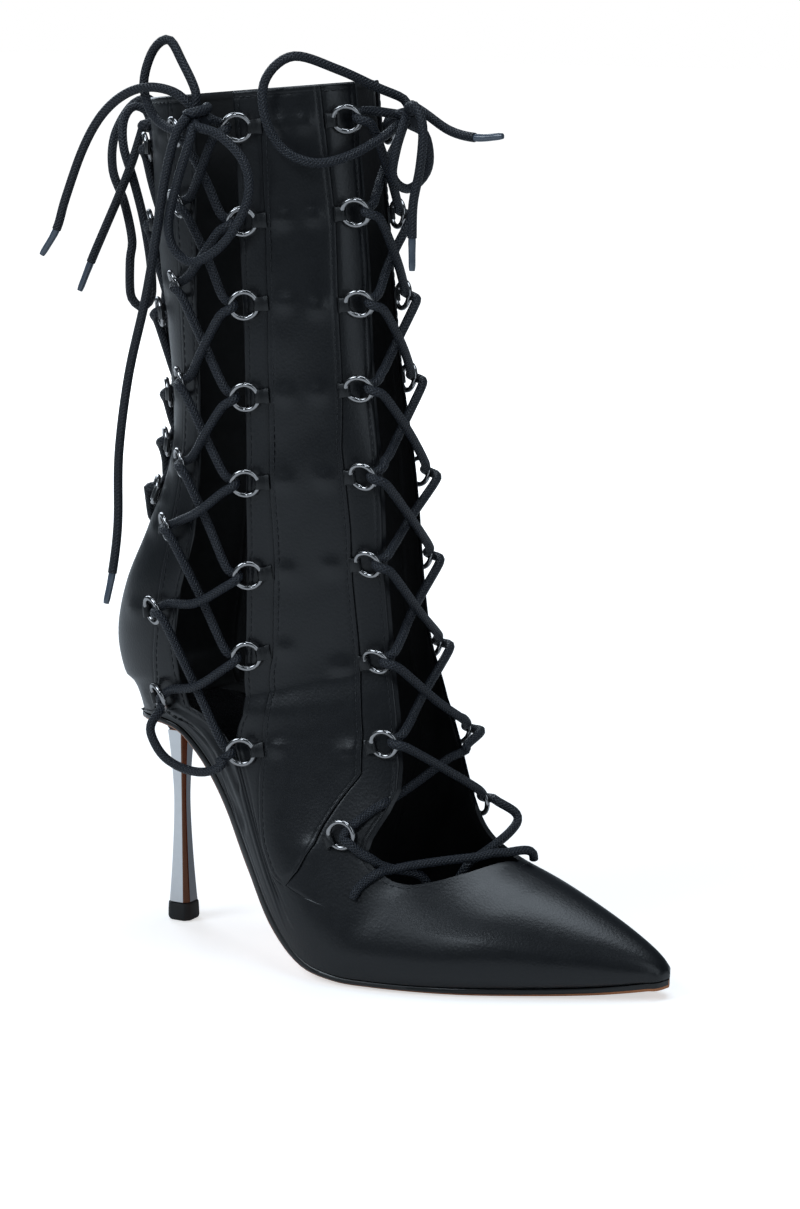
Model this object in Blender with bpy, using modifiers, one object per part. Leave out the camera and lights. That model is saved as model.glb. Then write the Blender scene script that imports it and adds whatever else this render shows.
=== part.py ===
"""Lace up ankle boot with a pointed toe and a slim metal heel, right shoe.

Metres, +Z up. X runs towards the toe, Y towards the wearer's left, which is the inner side of the foot.
The origin is the middle of the heel's lower face, and the sole's tread rests on the same plane.
"""
import bisect
import functools
import math

import bmesh
import bpy
from mathutils import Matrix, Vector

MM = 0.001

# Driving dimensions
TOE_REACH = 212 * MM
SEAT_HEIGHT = 88 * MM
SHAFT_HEIGHT = 240 * MM
BALL_WIDTH = 80 * MM
WALL = 1.6 * MM
GAP = 0.3 * MM
SEAT_GAP = 0.5 * MM
SOLE_THICKNESS = 3.5 * MM
INSOLE_THICKNESS = 1.6 * MM
INSOLE_INSET = 3.5 * MM
PANEL_STEP = 0.6 * MM
RING_OUTSIDE = 12.0 * MM
RING_WIRE = 1.6 * MM
LACE_DIAMETER = 3.5 * MM
LACE_LIFT = 0.5 * MM
RING_EXIT = 7.2 * MM
HEEL_TOP_WIDTH = 9.3 * MM
HEEL_WAIST_WIDTH = 5.6 * MM
HEEL_FOOT_WIDTH = 9.5 * MM
HEEL_WAIST_HEIGHT = 49 * MM
BLOCK_DROP = 10 * MM
BLOCK_SEAT_LENGTH = 26 * MM
BLOCK_SEAT_WIDTH = 25 * MM
BLOCK_AHEAD = 6 * MM
LIFT_WIDTH = 10.6 * MM
LIFT_HEIGHT = 7.0 * MM

STEP_WIDTH = 0.5 * MM
BLOCK_SIDES = 20
# Flat part of each side of the heel, as a share of its width
HEEL_FLAT = 0.62
HEEL_ROW = 8
# Ends of the insole as shares of the toe reach
INSOLE_FROM = -0.037
INSOLE_TO = 0.945

# Top face of the outsole along the foot.
# x as a share of the toe reach, height above the tread's as a share of the seat's height above it
FOOTBED = (
    (-0.052, 0.984), (0.0, 1.0), (0.038, 1.0), (0.075, 0.974), (0.113, 0.901), (0.184, 0.688), (0.245, 0.443),
    (0.311, 0.203), (0.382, 0.052), (0.448, 0.008), (0.53, 0.0), (0.65, 0.0), (0.78, 0.003), (0.90, 0.018),
    (1.0, 0.047),
)

# Thickness of the outsole, square to its face: x as a share of the toe reach, share of the sole's thickness
SOLE_SHARES = ((-0.06, 0.85), (0.08, 0.9), (0.22, 1.4), (0.34, 1.3), (0.45, 1.0), (0.70, 1.0), (1.0, 1.0))

# Outline of the feather edge: x as a share of the toe reach, outer and inner half widths as shares of the ball width
OUTLINE = (
    (-0.052, 0.0, 0.0), (-0.045, 0.13, 0.13), (-0.028, 0.215, 0.215), (0.0, 0.285, 0.28), (0.035, 0.32, 0.31),
    (0.09, 0.335, 0.31), (0.16, 0.355, 0.285), (0.23, 0.42, 0.27), (0.30, 0.505, 0.29), (0.37, 0.565, 0.345),
    (0.44, 0.59, 0.40), (0.51, 0.58, 0.425), (0.59, 0.54, 0.41), (0.67, 0.47, 0.37), (0.76, 0.36, 0.295),
    (0.85, 0.245, 0.21), (0.92, 0.155, 0.14), (0.97, 0.085, 0.08), (0.995, 0.04, 0.037), (1.0, 0.0, 0.0),
)

# Sections of the last from the collar to the toe. Columns: front x (share of the toe reach), front height (shares
# of the seat height and of the shaft height), back x, back height (the same two shares, read above the heel row
# only), outer and inner half widths (shares of the ball width), the place of the greatest width from back to front,
# and how square the front and back ends are.
SECTIONS = (
    (0.406, 1.0, 1.017, -0.028, 1.0, 0.983, 0.41, 0.41, 0.50, 1.00, 1.00),
    (0.429, 1.0, 0.800, -0.014, 1.0, 0.763, 0.41, 0.41, 0.50, 1.00, 1.00),
    (0.453, 1.0, 0.579, 0.012, 1.0, 0.542, 0.405, 0.405, 0.50, 1.00, 1.00),
    (0.481, 1.0, 0.450, 0.005, 1.0, 0.412, 0.41, 0.41, 0.47, 1.03, 0.98),
    (0.505, 1.0, 0.350, -0.042, 1.0, 0.300, 0.42, 0.415, 0.43, 1.08, 0.95),
    (0.520, 1.0, 0.285, -0.088, 1.0, 0.208, 0.43, 0.42, 0.40, 1.12, 0.92),
    (0.533, 1.0, 0.230, -0.107, 1.0, 0.125, 0.435, 0.42, 0.38, 1.15, 0.90),
    (0.545, 1.0, 0.180, -0.094, 1.0, 0.058, 0.43, 0.415, 0.37, 1.17, 0.90),
    (0.555, 1.0, 0.137, -0.052, 0.985, 0.0, 0.42, 0.405, 0.37, 1.18, 0.90),
    (0.566, 1.0, 0.090, 0.035, 0.0, 0.0, 0.425, 0.405, 0.36, 1.18, 0.95),
    (0.578, 1.0, 0.042, 0.113, 0.0, 0.0, 0.43, 0.395, 0.33, 1.18, 1.0),
    (0.592, 0.95, 0.0, 0.198, 0.0, 0.0, 0.475, 0.375, 0.29, 1.18, 1.0),
    (0.610, 0.775, 0.0, 0.283, 0.0, 0.0, 0.555, 0.375, 0.24, 1.18, 1.0),
    (0.638, 0.615, 0.0, 0.377, 0.0, 0.0, 0.605, 0.41, 0.20, 1.18, 1.0),
    (0.690, 0.515, 0.0, 0.495, 0.0, 0.0, 0.60, 0.455, 0.17, 1.18, 1.0),
    (0.778, 0.43, 0.0, 0.637, 0.0, 0.0, 0.52, 0.415, 0.15, 1.16, 1.0),
    (0.873, 0.325, 0.0, 0.778, 0.0, 0.0, 0.36, 0.30, 0.14, 1.12, 1.0),
    (0.943, 0.235, 0.0, 0.896, 0.0, 0.0, 0.205, 0.185, 0.14, 1.08, 1.0),
    (0.986, 0.162, 0.0, 0.970, 0.0, 0.0, 0.095, 0.09, 0.15, 1.0, 1.0),
    (1.000, 0.115, 0.0, 1.000, 0.0, 0.0, 0.01, 0.01, 0.2, 1.0, 1.0),
)
LAST_ROW = len(SECTIONS) - 1

# Lines on the boot. Columns: section row, and the way round from the front ridge as a share of the ball width.
# The outer side counts below zero where a line crosses the ridge.
SIDE_GAP_FRONT = (
    (0.0, 0.70), (0.4, 0.71), (1.65, 0.75), (3.45, 0.85), (5.75, 0.925), (9.1, 1.05), (10.05, 1.14), (12.05, 1.13),
    (12.6, 1.12), (13.2, 1.075), (14.2, 0.945),
)
SIDE_GAP_BACK = (
    (0.0, 0.91), (0.4, 0.925), (1.4, 1.01), (3.2, 1.11), (4.05, 1.16), (5.1, 1.26), (6.35, 1.34), (7.55, 1.35),
    (8.2, 1.32), (9.3, 1.24), (10.05, 1.155), (12.05, 1.15), (12.6, 1.17), (13.2, 1.12), (14.2, 0.97),
)
FRONT_GAP_OUTER = (
    (0.0, 0.11), (1.3, 0.12), (2.3, 0.16), (4.4, 0.225), (7.3, 0.265), (9.75, 0.30), (10.9, 0.34), (11.35, 0.38),
    (11.65, 0.46), (11.95, 0.575), (12.15, 0.625), (12.45, 0.61), (12.9, 0.56), (13.2, 0.50), (13.5, 0.39),
    (13.8, 0.24), (14.05, 0.06), (14.2, 0.015),
)
FRONT_GAP_INNER = (
    (0.0, 0.11), (1.3, 0.13), (2.3, 0.16), (4.4, 0.21), (7.3, 0.24), (9.75, 0.21), (10.9, 0.13), (11.65, 0.105),
    (12.9, 0.112), (14.0, 0.125), (14.2, 0.105),
)
PANEL_SIDE_EDGE = (
    (0.0, 0.565), (0.8, 0.59), (1.45, 0.615), (2.1, 0.65), (3.2, 0.715), (4.75, 0.75), (6.9, 0.825), (10.1, 0.975),
    (10.9, 1.06), (11.45, 1.12), (11.85, 1.115), (12.05, 1.065), (12.6, 1.07), (13.2, 1.03), (14.2, 0.92),
)
PANEL_FRONT_EDGE = (
    (0.0, 0.285), (0.95, 0.265), (1.5, 0.285), (2.1, 0.30), (2.85, 0.35), (4.05, 0.365), (5.3, 0.39), (7.65, 0.415),
    (10.1, 0.475), (10.9, 0.525), (11.15, 0.625), (11.5, 0.765), (11.7, 0.83), (11.95, 0.96), (12.05, 1.055),
    (12.6, 0.90), (13.2, 0.80), (14.2, 0.65),
)
SIDE_GAP_END = 10.05
FRONT_GAP_END = 14.2
PANEL_END = 12.05

# Section rows of the upper's sheet, closer together where a line turns
UPPER_ROWS = (
    0.0, 1.0, 2.0, 3.0, 3.5, 4.0, 4.5, 5.0, 5.5, 6.0, 6.5, 7.0, 7.5, 8.0, 8.7, 9.3, 9.7, 10.05, 10.5, 10.9, 11.15,
    11.35, 11.5, 11.7, 11.95, 12.05, 12.3, 12.6, 12.9, 13.2, 13.5, 13.8, 14.05, 14.2, 14.6, 15.0, 15.5, 16.0, 16.5,
    17.0, 17.5, 18.0, 18.5, 19.0,
)

# Rings: section row, and the way round from the front ridge as a share of the ball width
RING_COLUMNS = {
    "front_outer": ((0.25, -0.19), (0.9, -0.185), (1.5, -0.20), (2.15, -0.235), (3.25, -0.27), (4.9, -0.30),
                    (7.8, -0.33), (10.4, -0.385), (11.75, -0.69)),
    "front_inner": ((0.35, 0.19), (0.95, 0.19), (1.5, 0.21), (2.15, 0.24), (3.4, 0.275), (5.1, 0.305),
                    (7.85, 0.325), (10.6, 0.23), (12.25, 0.19)),
    "side_front": ((0.25, 0.675), (0.90, 0.69), (1.45, 0.715), (2.15, 0.755), (3.25, 0.82), (4.9, 0.87),
                   (6.9, 0.945), (10.15, 1.075)),
    "side_back": ((0.25, 1.01), (0.75, 1.05), (1.3, 1.10), (2.0, 1.15), (3.0, 1.21), (3.95, 1.31), (5.55, 1.42),
                  (7.85, 1.48)),
    "back_outer": ((0.35, -0.11), (0.9, -0.11), (1.5, -0.11), (2.15, -0.11), (2.8, -0.11), (3.5, -0.11)),
    "back_inner": ((0.35, 0.11), (0.9, 0.11), (1.5, 0.11), (2.15, 0.11), (2.8, 0.11), (3.5, 0.11)),
}

# Columns whose rings lie against the raised panel's edge
BESIDE_PANEL = ("front_outer", "side_front")
# How much higher the rings lie where the back of the ankle is hollow
BACK_RING_LIFTS = (0.3 * MM, 0.3 * MM, 0.3 * MM, 0.5 * MM, 0.6 * MM, 0.15 * MM)

# Free lace: points chosen along the bow of each lacing, in millimetres from its knot
BOW_FRONT = (
    (41.3, -5.0, -6.8), (30.3, -4.0, -7.8), (18.3, -2.0, -5.8), (7.3, -1.0, 0.2), (-2.7, 1.0, 6.2),
    (-8.7, -7.0, 9.2), (-17.7, -21.0, 16.2), (-28.7, -34.0, 21.2), (-36.7, -40.0, 13.2),
    (-36.7, -41.0, 0.2), (-31.7, -37.0, -11.8), (-21.7, -32.0, -16.8), (-12.7, -23.0, -14.8),
    (-5.7, -11.0, -8.8), (-0.7, -2.0, -3.8), (3.3, 6.0, -7.8), (4.3, 8.0, -16.8), (1.3, 9.0, -23.8),
    (-1.7, 2.0, -27.8), (-2.7, -7.0, -22.8), (0.3, -10.0, -12.8), (3.3, -9.0, 0.2), (9.3, -10.0, 3.2),
    (11.3, -10.0, -6.8), (9.3, -9.0, -19.8), (6.3, -8.0, -31.8), (5.3, -7.0, -43.8), (5.3, -7.0, -56.8),
)
BOW_SIDE = (
    (-71.8, -2.0, -55.0), (-64.8, -2.0, -45.0), (-60.8, -2.0, -34.0), (-51.8, -3.0, -15.0),
    (-41.8, -5.0, -2.0), (-30.8, -6.0, 6.0), (-19.8, -6.0, 9.0), (-8.8, -5.0, 7.0), (0.2, -4.0, -1.0),
    (-1.8, -3.0, 8.0), (-7.8, -2.0, 18.0), (-14.8, 0.0, 26.0), (-21.8, 0.0, 22.0), (-24.8, -2.0, 10.0),
    (-19.8, -4.0, -1.0), (-8.8, -8.0, -6.0), (2.2, -10.0, -5.0), (12.2, -10.0, -7.0), (21.2, -8.0, -16.0),
    (23.2, -7.0, -27.0), (18.2, -7.0, -39.0), (9.2, -7.0, -49.0), (-1.8, -7.0, -54.0), (-9.8, -7.0, -49.0),
    (-10.8, -8.0, -39.0), (-4.8, -11.0, -24.0), (2.2, -14.0, -12.0), (5.2, -15.0, -4.0), (0.2, -16.0, -1.0),
    (-4.8, -15.0, -9.0), (-9.8, -12.0, -24.0), (-16.8, -8.0, -47.0), (-23.8, -5.0, -70.0),
    (-32.8, -3.0, -98.0), (-37.8, -3.0, -128.0), (-38.8, -3.0, -155.0), (-40.8, -4.0, -173.0),
    (-42.8, -6.0, -186.0),
)
BOW_BACK = (
    (-25.5, -13.8, -64.0), (-20.5, -11.8, -51.0), (-15.5, -9.8, -39.0), (-10.5, -7.8, -27.0),
    (-5.5, -5.8, -14.0), (-3.5, -1.8, -4.0), (-3.5, 4.2, 1.0), (-7.5, 3.2, 6.0), (-11.5, -1.8, 1.0),
    (-9.5, -4.8, -9.0), (-6.5, -3.8, -21.0), (-3.5, -1.8, -36.0), (-1.5, -0.8, -52.0), (-1.5, -0.8, -64.0),
    (-4.5, -1.8, -70.0), (-7.5, -3.8, -64.0), (-7.5, -4.8, -52.0), (-7.5, -3.8, -44.0),
    (-11.5, -2.8, -30.0), (-16.5, -2.8, -18.0), (-17.5, 0.2, -5.0), (-14.5, 7.2, 6.0), (-8.5, 10.2, 9.0),
    (-2.5, 10.2, 5.0),
)
BOWS = {"front": BOW_FRONT, "side": BOW_SIDE, "back": BOW_BACK}
# The two columns of rings of each lacing, and its knot in millimetres from the middle between their top rings
LACINGS = {
    "front": ("front_outer", "front_inner", (15.6, -0.8, 4.3)),
    "side": ("side_front", "side_back", (1.7, -1.8, 6.5)),
    "back": ("back_outer", "back_inner", (-5.4, 5.8, 7.6)),
}

COLOURS = {
    "black_leather": ((0.012, 0.012, 0.013), 0.4, 0.0),
    "insole_black": ((0.01, 0.01, 0.011), 0.3, 0.0),
    "sole_tan": ((0.36, 0.17, 0.07), 0.55, 0.0),
    "bright_metal": ((0.75, 0.75, 0.76), 0.08, 1.0),
    "ring_metal": ((0.36, 0.35, 0.35), 0.2, 1.0),
    "black_rubber": ((0.015, 0.015, 0.015), 0.6, 0.0),
    "lace_cord": ((0.011, 0.012, 0.018), 0.5, 0.0),
}


def smooth_value(table, column, place):
    """Value of a table's column at a place, on a smooth line through its rows."""
    places = [row[0] for row in table]
    values = [row[column] for row in table]
    place = min(max(place, places[0]), places[-1])
    i = min(max(bisect.bisect_left(places, place) - 1, 0), len(places) - 2)
    step = places[i + 1] - places[i]
    t = (place - places[i]) / step
    start = slope_at(places, values, i)
    end = slope_at(places, values, i + 1)
    return ((2 * t**3 - 3 * t**2 + 1) * values[i] + (t**3 - 2 * t**2 + t) * step * start
            + (3 * t**2 - 2 * t**3) * values[i + 1] + (t**3 - t**2) * step * end)


def slope_at(places, values, i):
    """Slope of the smooth line at one of its points, weighted by the nearer neighbour."""
    if i == 0:
        return (values[1] - values[0]) / (places[1] - places[0])
    if i == len(places) - 1:
        return (values[-1] - values[-2]) / (places[-1] - places[-2])
    before = places[i] - places[i - 1]
    after = places[i + 1] - places[i]
    rise = (values[i + 1] - values[i]) / after
    fall = (values[i] - values[i - 1]) / before
    return (before * rise + after * fall) / (before + after)


NUMBERED = [(float(i),) + row for i, row in enumerate(SECTIONS)]


def straight_value(table, place):
    """Value of a two column table at a place, on straight lines between its rows."""
    place = min(max(place, table[0][0]), table[-1][0])
    for low, high in zip(table, table[1:]):
        if place <= high[0]:
            return low[1] + (high[1] - low[1]) * (place - low[0]) / (high[0] - low[0])
    return table[-1][1]


def footbed(x):
    """Height of the outsole's top face."""
    share = smooth_value(FOOTBED, 1, x / TOE_REACH)
    return SOLE_THICKNESS + max(share, 0.0) * (SEAT_HEIGHT - SOLE_THICKNESS)


def underside(x):
    """Height of the outsole's lower face, never below the floor."""
    step = 1 * MM
    slope = (footbed(x + step) - footbed(x - step)) / (2 * step)
    thickness = SOLE_THICKNESS * smooth_value(SOLE_SHARES, 1, x / TOE_REACH)
    return max(0.0, footbed(x) - thickness * math.sqrt(1 + slope * slope))


def feather(x, side):
    """Half width of the feather edge; side is -1 on the outer side and 1 on the inner side."""
    share = smooth_value(OUTLINE, 1 if side < 0 else 2, x / TOE_REACH)
    return max(0.0, share * BALL_WIDTH)


@functools.lru_cache(maxsize=None)
def half_section(row, side, steps=48):
    """Points of one half of a section, from the front ridge to the back seam or the feather edge."""
    row = min(max(row, 0.0), LAST_ROW)
    front_x, front_seat, front_up, back_x, back_seat, back_up, outer, inner, widest, front_end, back_end = [
        smooth_value(NUMBERED, column, row) for column in range(1, 12)]
    front = Vector((front_x * TOE_REACH, 0, front_seat * SEAT_HEIGHT + front_up * SHAFT_HEIGHT))
    if row < HEEL_ROW:
        back = Vector((back_x * TOE_REACH, 0, back_seat * SEAT_HEIGHT + back_up * SHAFT_HEIGHT))
        foot_width = 0.0
    else:
        back = Vector((back_x * TOE_REACH, 0, footbed(back_x * TOE_REACH)))
        foot_width = 0.0 if row == HEEL_ROW else feather(back.x, side)
    half = max((outer if side < 0 else inner) * BALL_WIDTH, foot_width * 1.001, 0.01 * MM)
    start = math.asin(min(0.9999, foot_width / half) ** (1 / back_end))
    across = math.cos(start) ** back_end
    points = []
    for i in range(steps + 1):
        angle = math.pi / 2 * i / steps
        width = half * math.sin(angle) ** front_end
        place = widest + (1 - widest) * max(math.cos(angle), 0.0) ** front_end
        points.append(back + (front - back) * place + Vector((0, side * width, 0)))
    for i in range(1, steps + 1):
        angle = math.pi / 2 + (start - math.pi / 2) * i / steps
        width = half * math.sin(angle) ** back_end
        place = widest * (1 - max(math.cos(angle), 0.0) ** back_end / across)
        points.append(back + (front - back) * place + Vector((0, side * width, 0)))
    return points


def along(points, distance):
    """Point at a distance along a line of points."""
    for a, b in zip(points, points[1:]):
        length = (b - a).length
        if distance <= length and length > 0:
            return a.lerp(b, distance / length)
        distance -= length
    return points[-1].copy()


def line_length(points):
    return sum((b - a).length for a, b in zip(points, points[1:]))


def skin(row, round_from_ridge):
    """Point of the outer face at a section row and a signed way round from the front ridge."""
    side = -1 if round_from_ridge < 0 else 1
    return along(half_section(row, side), abs(round_from_ridge))


def skin_normal(row, round_from_ridge):
    """Outward normal of the outer face."""
    step = 1.5 * MM
    rise = skin(row - 0.1, round_from_ridge) - skin(row + 0.1, round_from_ridge)
    run = skin(row, round_from_ridge + step) - skin(row, round_from_ridge - step)
    return run.cross(rise).normalized()


def material(name):
    """Principled material of one of the boot's finishes."""
    found = bpy.data.materials.get(name)
    if found:
        return found
    colour, roughness, metallic = COLOURS[name]
    made = bpy.data.materials.new(name)
    made.use_nodes = True
    shader = made.node_tree.nodes["Principled BSDF"]
    shader.inputs["Base Color"].default_value = (*colour, 1)
    shader.inputs["Roughness"].default_value = roughness
    shader.inputs["Metallic"].default_value = metallic
    return made


def add_object(name, data, collection, finish=None):
    made = bpy.data.objects.new(name, data)
    collection.objects.link(made)
    if finish:
        data.materials.append(material(finish))
    return made


def mesh_from(name, form):
    """Mesh of a bmesh, smooth except at sharp corners."""
    mesh = bpy.data.meshes.new(name)
    form.to_mesh(mesh)
    form.free()
    mesh.shade_smooth()
    mesh.set_sharp_from_angle(angle=math.radians(40))
    return mesh


def loft(name, rows, closed, caps):
    """Skin over rows of points; rows may be closed rings, and the two ends may be capped."""
    form = bmesh.new()
    grid = [[form.verts.new(p) for p in row] for row in rows]
    for low, high in zip(grid, grid[1:]):
        count = len(low)
        for j in range(count if closed else count - 1):
            k = (j + 1) % count
            form.faces.new((low[j], low[k], high[k], high[j]))
    if caps:
        form.faces.new(list(reversed(grid[0])))
        form.faces.new(grid[-1])
    bmesh.ops.remove_doubles(form, verts=form.verts, dist=0.01 * MM)
    bmesh.ops.recalc_face_normals(form, faces=form.faces)
    if closed and form.calc_volume(signed=True) < 0:
        bmesh.ops.reverse_faces(form, faces=form.faces)
    return mesh_from(name, form)


def combine(target, tool, operation):
    step = target.modifiers.new(tool.name, "BOOLEAN")
    step.operation = operation
    step.object = tool
    step.solver = "EXACT"


def hide_tool(tool):
    tool.hide_render = True
    tool.display_type = "WIRE"


def line_place(table, row, side, most):
    """Way round of a line on the boot; past its table it keeps its share of the half girth."""
    half = line_length(half_section(row, side))
    last = table[-1][0]
    if row > last:
        return min(straight_value(table, last) * BALL_WIDTH / line_length(half_section(last, side)), most) * half
    return min(straight_value(table, row) * BALL_WIDTH, most * half)


def upper_columns(row):
    """Ways round of the sheet's columns at a row, with the height of each over the outer face."""
    ends = [line_length(half_section(row, side)) for side in (-1, 1)]
    gap_back = line_place(SIDE_GAP_BACK, row, -1, 0.975)
    gap_front = line_place(SIDE_GAP_FRONT, row, -1, 0.95)
    panel_side = line_place(PANEL_SIDE_EDGE, row, -1, 0.93)
    panel_front = line_place(PANEL_FRONT_EDGE, row, -1, 0.90)
    throat_outer = line_place(FRONT_GAP_OUTER, row, -1, 0.65)
    throat_inner = line_place(FRONT_GAP_INNER, row, 1, 0.65)
    width = panel_side - panel_front
    ramp = min(STEP_WIDTH, 0.3 * width)
    rise = PANEL_STEP * min(1.0, width / (4 * STEP_WIDTH)) if row <= PANEL_END else 0.0
    stops = [(-ends[0], 0.0, 4), (-gap_back, 0.0, 2), (-gap_front, 0.0, 2), (-panel_side, 0.0, 1),
             (-panel_side + ramp, rise, 3), (-panel_front - ramp, rise, 1), (-panel_front, 0.0, 5),
             (-throat_outer, 0.0, 1), (0.0, 0.0, 1), (throat_inner, 0.0, 9), (ends[1], 0.0, 0)]
    columns = []
    for (way, high, count), (next_way, next_high, _) in zip(stops, stops[1:]):
        columns += [(way + (next_way - way) * k / count, high if k == 0 else (high + next_high) / 2)
                    for k in range(count)]
    return columns + [(ends[1], 0.0)]


# Columns of the sheet that the two lacing gaps leave out
SIDE_GAP_COLUMNS = (4, 5)
FRONT_GAP_COLUMNS = (18, 19)


def make_skin_mesh():
    """Outer face of the upper: a sheet with its two lacing gaps, a closed toe and a raised centre panel."""
    form = bmesh.new()
    grid = []
    for row in UPPER_ROWS:
        line = []
        for way, high in upper_columns(row):
            place = skin(row, way)
            if high:
                place += skin_normal(row, way) * high
            line.append(form.verts.new(place))
        grid.append(line)
    for row, low, high in zip(UPPER_ROWS, grid, grid[1:]):
        for j in range(len(low) - 1):
            if j in SIDE_GAP_COLUMNS and row < SIDE_GAP_END or j in FRONT_GAP_COLUMNS and row < FRONT_GAP_END:
                continue
            form.faces.new((low[j], high[j], high[j + 1], low[j + 1]))
    form.faces.new(grid[-1])
    loose = [v for v in form.verts if not v.link_faces]
    bmesh.ops.delete(form, geom=loose, context="VERTS")
    seam = 0.02 * MM
    bmesh.ops.remove_doubles(form, verts=form.verts, dist=seam)
    bmesh.ops.recalc_face_normals(form, faces=form.faces)
    highest = max(form.faces, key=lambda face: face.calc_center_median().x)
    if highest.normal.x < 0:
        bmesh.ops.reverse_faces(form, faces=form.faces)
    return mesh_from("upper", form)


def toe_share(x):
    """Share of the full wall that fits inside the narrow toe."""
    return min(1.0, max(0.12, (TOE_REACH - x) / (8 * WALL)))


def make_upper(parts):
    """The hollow upper, with its raised centre panel and its two lacing gaps."""
    upper = add_object("upper", make_skin_mesh(), parts, "black_leather")
    group = upper.vertex_groups.new(name="wall")
    for vertex in upper.data.vertices:
        group.add([vertex.index], toe_share(vertex.co.x), "REPLACE")
    shell = upper.modifiers.new("wall", "SOLIDIFY")
    shell.thickness = WALL
    shell.offset = -1
    shell.vertex_group = "wall"


def sole_stations(count=36):
    """Places along the sole, closer together near both ends."""
    first = 0.999 * OUTLINE[0][0] * TOE_REACH
    last = 0.9995 * TOE_REACH
    middle = (first + last) / 2
    reach = (last - first) / 2
    return [middle - reach * math.cos(math.pi * i / count) for i in range(count + 1)]


def make_outsole(parts):
    """The outsole, from heel seat to toe, as closed rings of its cross-section."""
    rows = []
    for x in sole_stations():
        top = footbed(x) - SEAT_GAP
        low = underside(x)
        outer = max(feather(x, -1), 0.3 * MM)
        inner = max(feather(x, 1), 0.3 * MM)
        shares = (-1.0, -0.5, 0.0, 0.5, 1.0)
        across = [s * (outer if s < 0 else inner) for s in shares]
        ring = [Vector((x, y, top)) for y in across]
        ring += [Vector((x, y * 0.985, low)) for y in reversed(across)]
        rows.append(ring)
    return add_object("outsole", loft("outsole", rows, True, True), parts, "sole_tan")


def insole_width(x, side):
    """Half width of the insole, clear of the wall to the side and at both ends."""
    reach = min(feather(x - 2.6 * INSOLE_INSET, side), feather(x, side), feather(x + INSOLE_INSET, side))
    return max(reach - INSOLE_INSET, 1 * MM)


def make_insole(parts):
    """The insole, a thin sheet on the outsole and clear of the upper's wall."""
    rows = []
    for x in sole_stations():
        if not INSOLE_FROM * TOE_REACH < x < INSOLE_TO * TOE_REACH:
            continue
        low = footbed(x)
        outer = insole_width(x, -1)
        inner = insole_width(x, 1)
        across = [-outer, -outer / 2, 0.0, inner / 2, inner]
        ring = [Vector((x, y, low)) for y in across]
        ring += [Vector((x, y, low + INSOLE_THICKNESS)) for y in reversed(across)]
        rows.append(ring)
    return add_object("insole", loft("insole", rows, True, True), parts, "insole_black")


def cut_corner_square(width, height):
    """Ring of a square with cut corners, round the Z axis."""
    half = width / 2
    flat = half * HEEL_FLAT
    corners = ((half, flat), (flat, half), (-flat, half), (-half, flat), (-half, -flat), (-flat, -half),
               (flat, -half), (half, -flat))
    return [Vector((x, y, height)) for x, y in corners]


def make_heel(parts):
    """The covered block under the seat, the faceted metal heel and its rubber tip."""
    lift = loft("top_lift", [cut_corner_square(LIFT_WIDTH * 0.97, 0.0), cut_corner_square(LIFT_WIDTH, 1.2 * MM),
                             cut_corner_square(LIFT_WIDTH, LIFT_HEIGHT)], True, True)
    add_object("top_lift", lift, parts, "black_rubber")

    block_height = SEAT_HEIGHT - BLOCK_DROP
    bottom = LIFT_HEIGHT + GAP
    top = block_height - GAP
    rings = []
    for i in range(13):
        height = bottom + (top - bottom) * i / 12
        end = HEEL_FOOT_WIDTH if height < HEEL_WAIST_HEIGHT else HEEL_TOP_WIDTH
        span = HEEL_WAIST_HEIGHT - bottom if height < HEEL_WAIST_HEIGHT else top - HEEL_WAIST_HEIGHT
        flare = abs(height - HEEL_WAIST_HEIGHT) / span
        rings.append(cut_corner_square(HEEL_WAIST_WIDTH + (end - HEEL_WAIST_WIDTH) * flare ** 1.6, height))
    add_object("heel_spike", loft("heel_spike", rings, True, True), parts, "bright_metal")

    rings = []
    for i in range(7):
        share = i / 6
        ring = []
        for j in range(BLOCK_SIDES):
            angle = 2 * math.pi * (j + 0.5) / BLOCK_SIDES
            corner = Vector((math.cos(angle), math.sin(angle), 0))
            across = (abs(corner.x) + abs(corner.y)) / (1 + HEEL_FLAT)
            reach = HEEL_TOP_WIDTH / 2 / max(abs(corner.x), abs(corner.y), across)
            low = corner * reach
            seat_x = BLOCK_AHEAD + BLOCK_SEAT_LENGTH / 2 * corner.x
            seat = Vector((seat_x, BLOCK_SEAT_WIDTH / 2 * corner.y, 0))
            spread = share ** 2.2
            place = low.lerp(seat, spread)
            place.z = block_height + (underside(place.x) - SEAT_GAP - block_height) * share
            ring.append(place)
        rings.append(ring)
    ends = [sum(ring, Vector()) / len(ring) for ring in (rings[0], rings[-1])]
    rings = [[ends[0]] * BLOCK_SIDES] + rings + [[ends[1]] * BLOCK_SIDES]
    add_object("heel_block", loft("heel_block", rings, True, False), parts, "black_leather")


def ring_place(column, number):
    """Section row and signed way round of a ring. Rings of the back lacing count from the back seam."""
    row, share = RING_COLUMNS[column][number]
    way = share * BALL_WIDTH
    if column.startswith("back"):
        side = -1 if share < 0 else 1
        way = side * (line_length(half_section(row, side)) - abs(way))
    if column.startswith("side"):
        way = -way
    return row, way


def over_skin(row, way, height):
    """Point at a height over the outer face, which may lie past the back seam."""
    half = line_length(half_section(row, 1 if way > 0 else -1))
    if abs(way) > half:
        way = (abs(way) - 2 * half) * (1 if way > 0 else -1)
    return skin(row, way) + skin_normal(row, way) * height


def ring_seat(column, number):
    """Middle of a ring and its outward axis."""
    row, way = ring_place(column, number)
    axis = skin_normal(row, way)
    step = PANEL_STEP if column in BESIDE_PANEL else 0.0
    if column.startswith("back"):
        step = BACK_RING_LIFTS[number]
    return skin(row, way) + axis * (step + GAP + RING_WIRE / 2), axis


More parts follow.
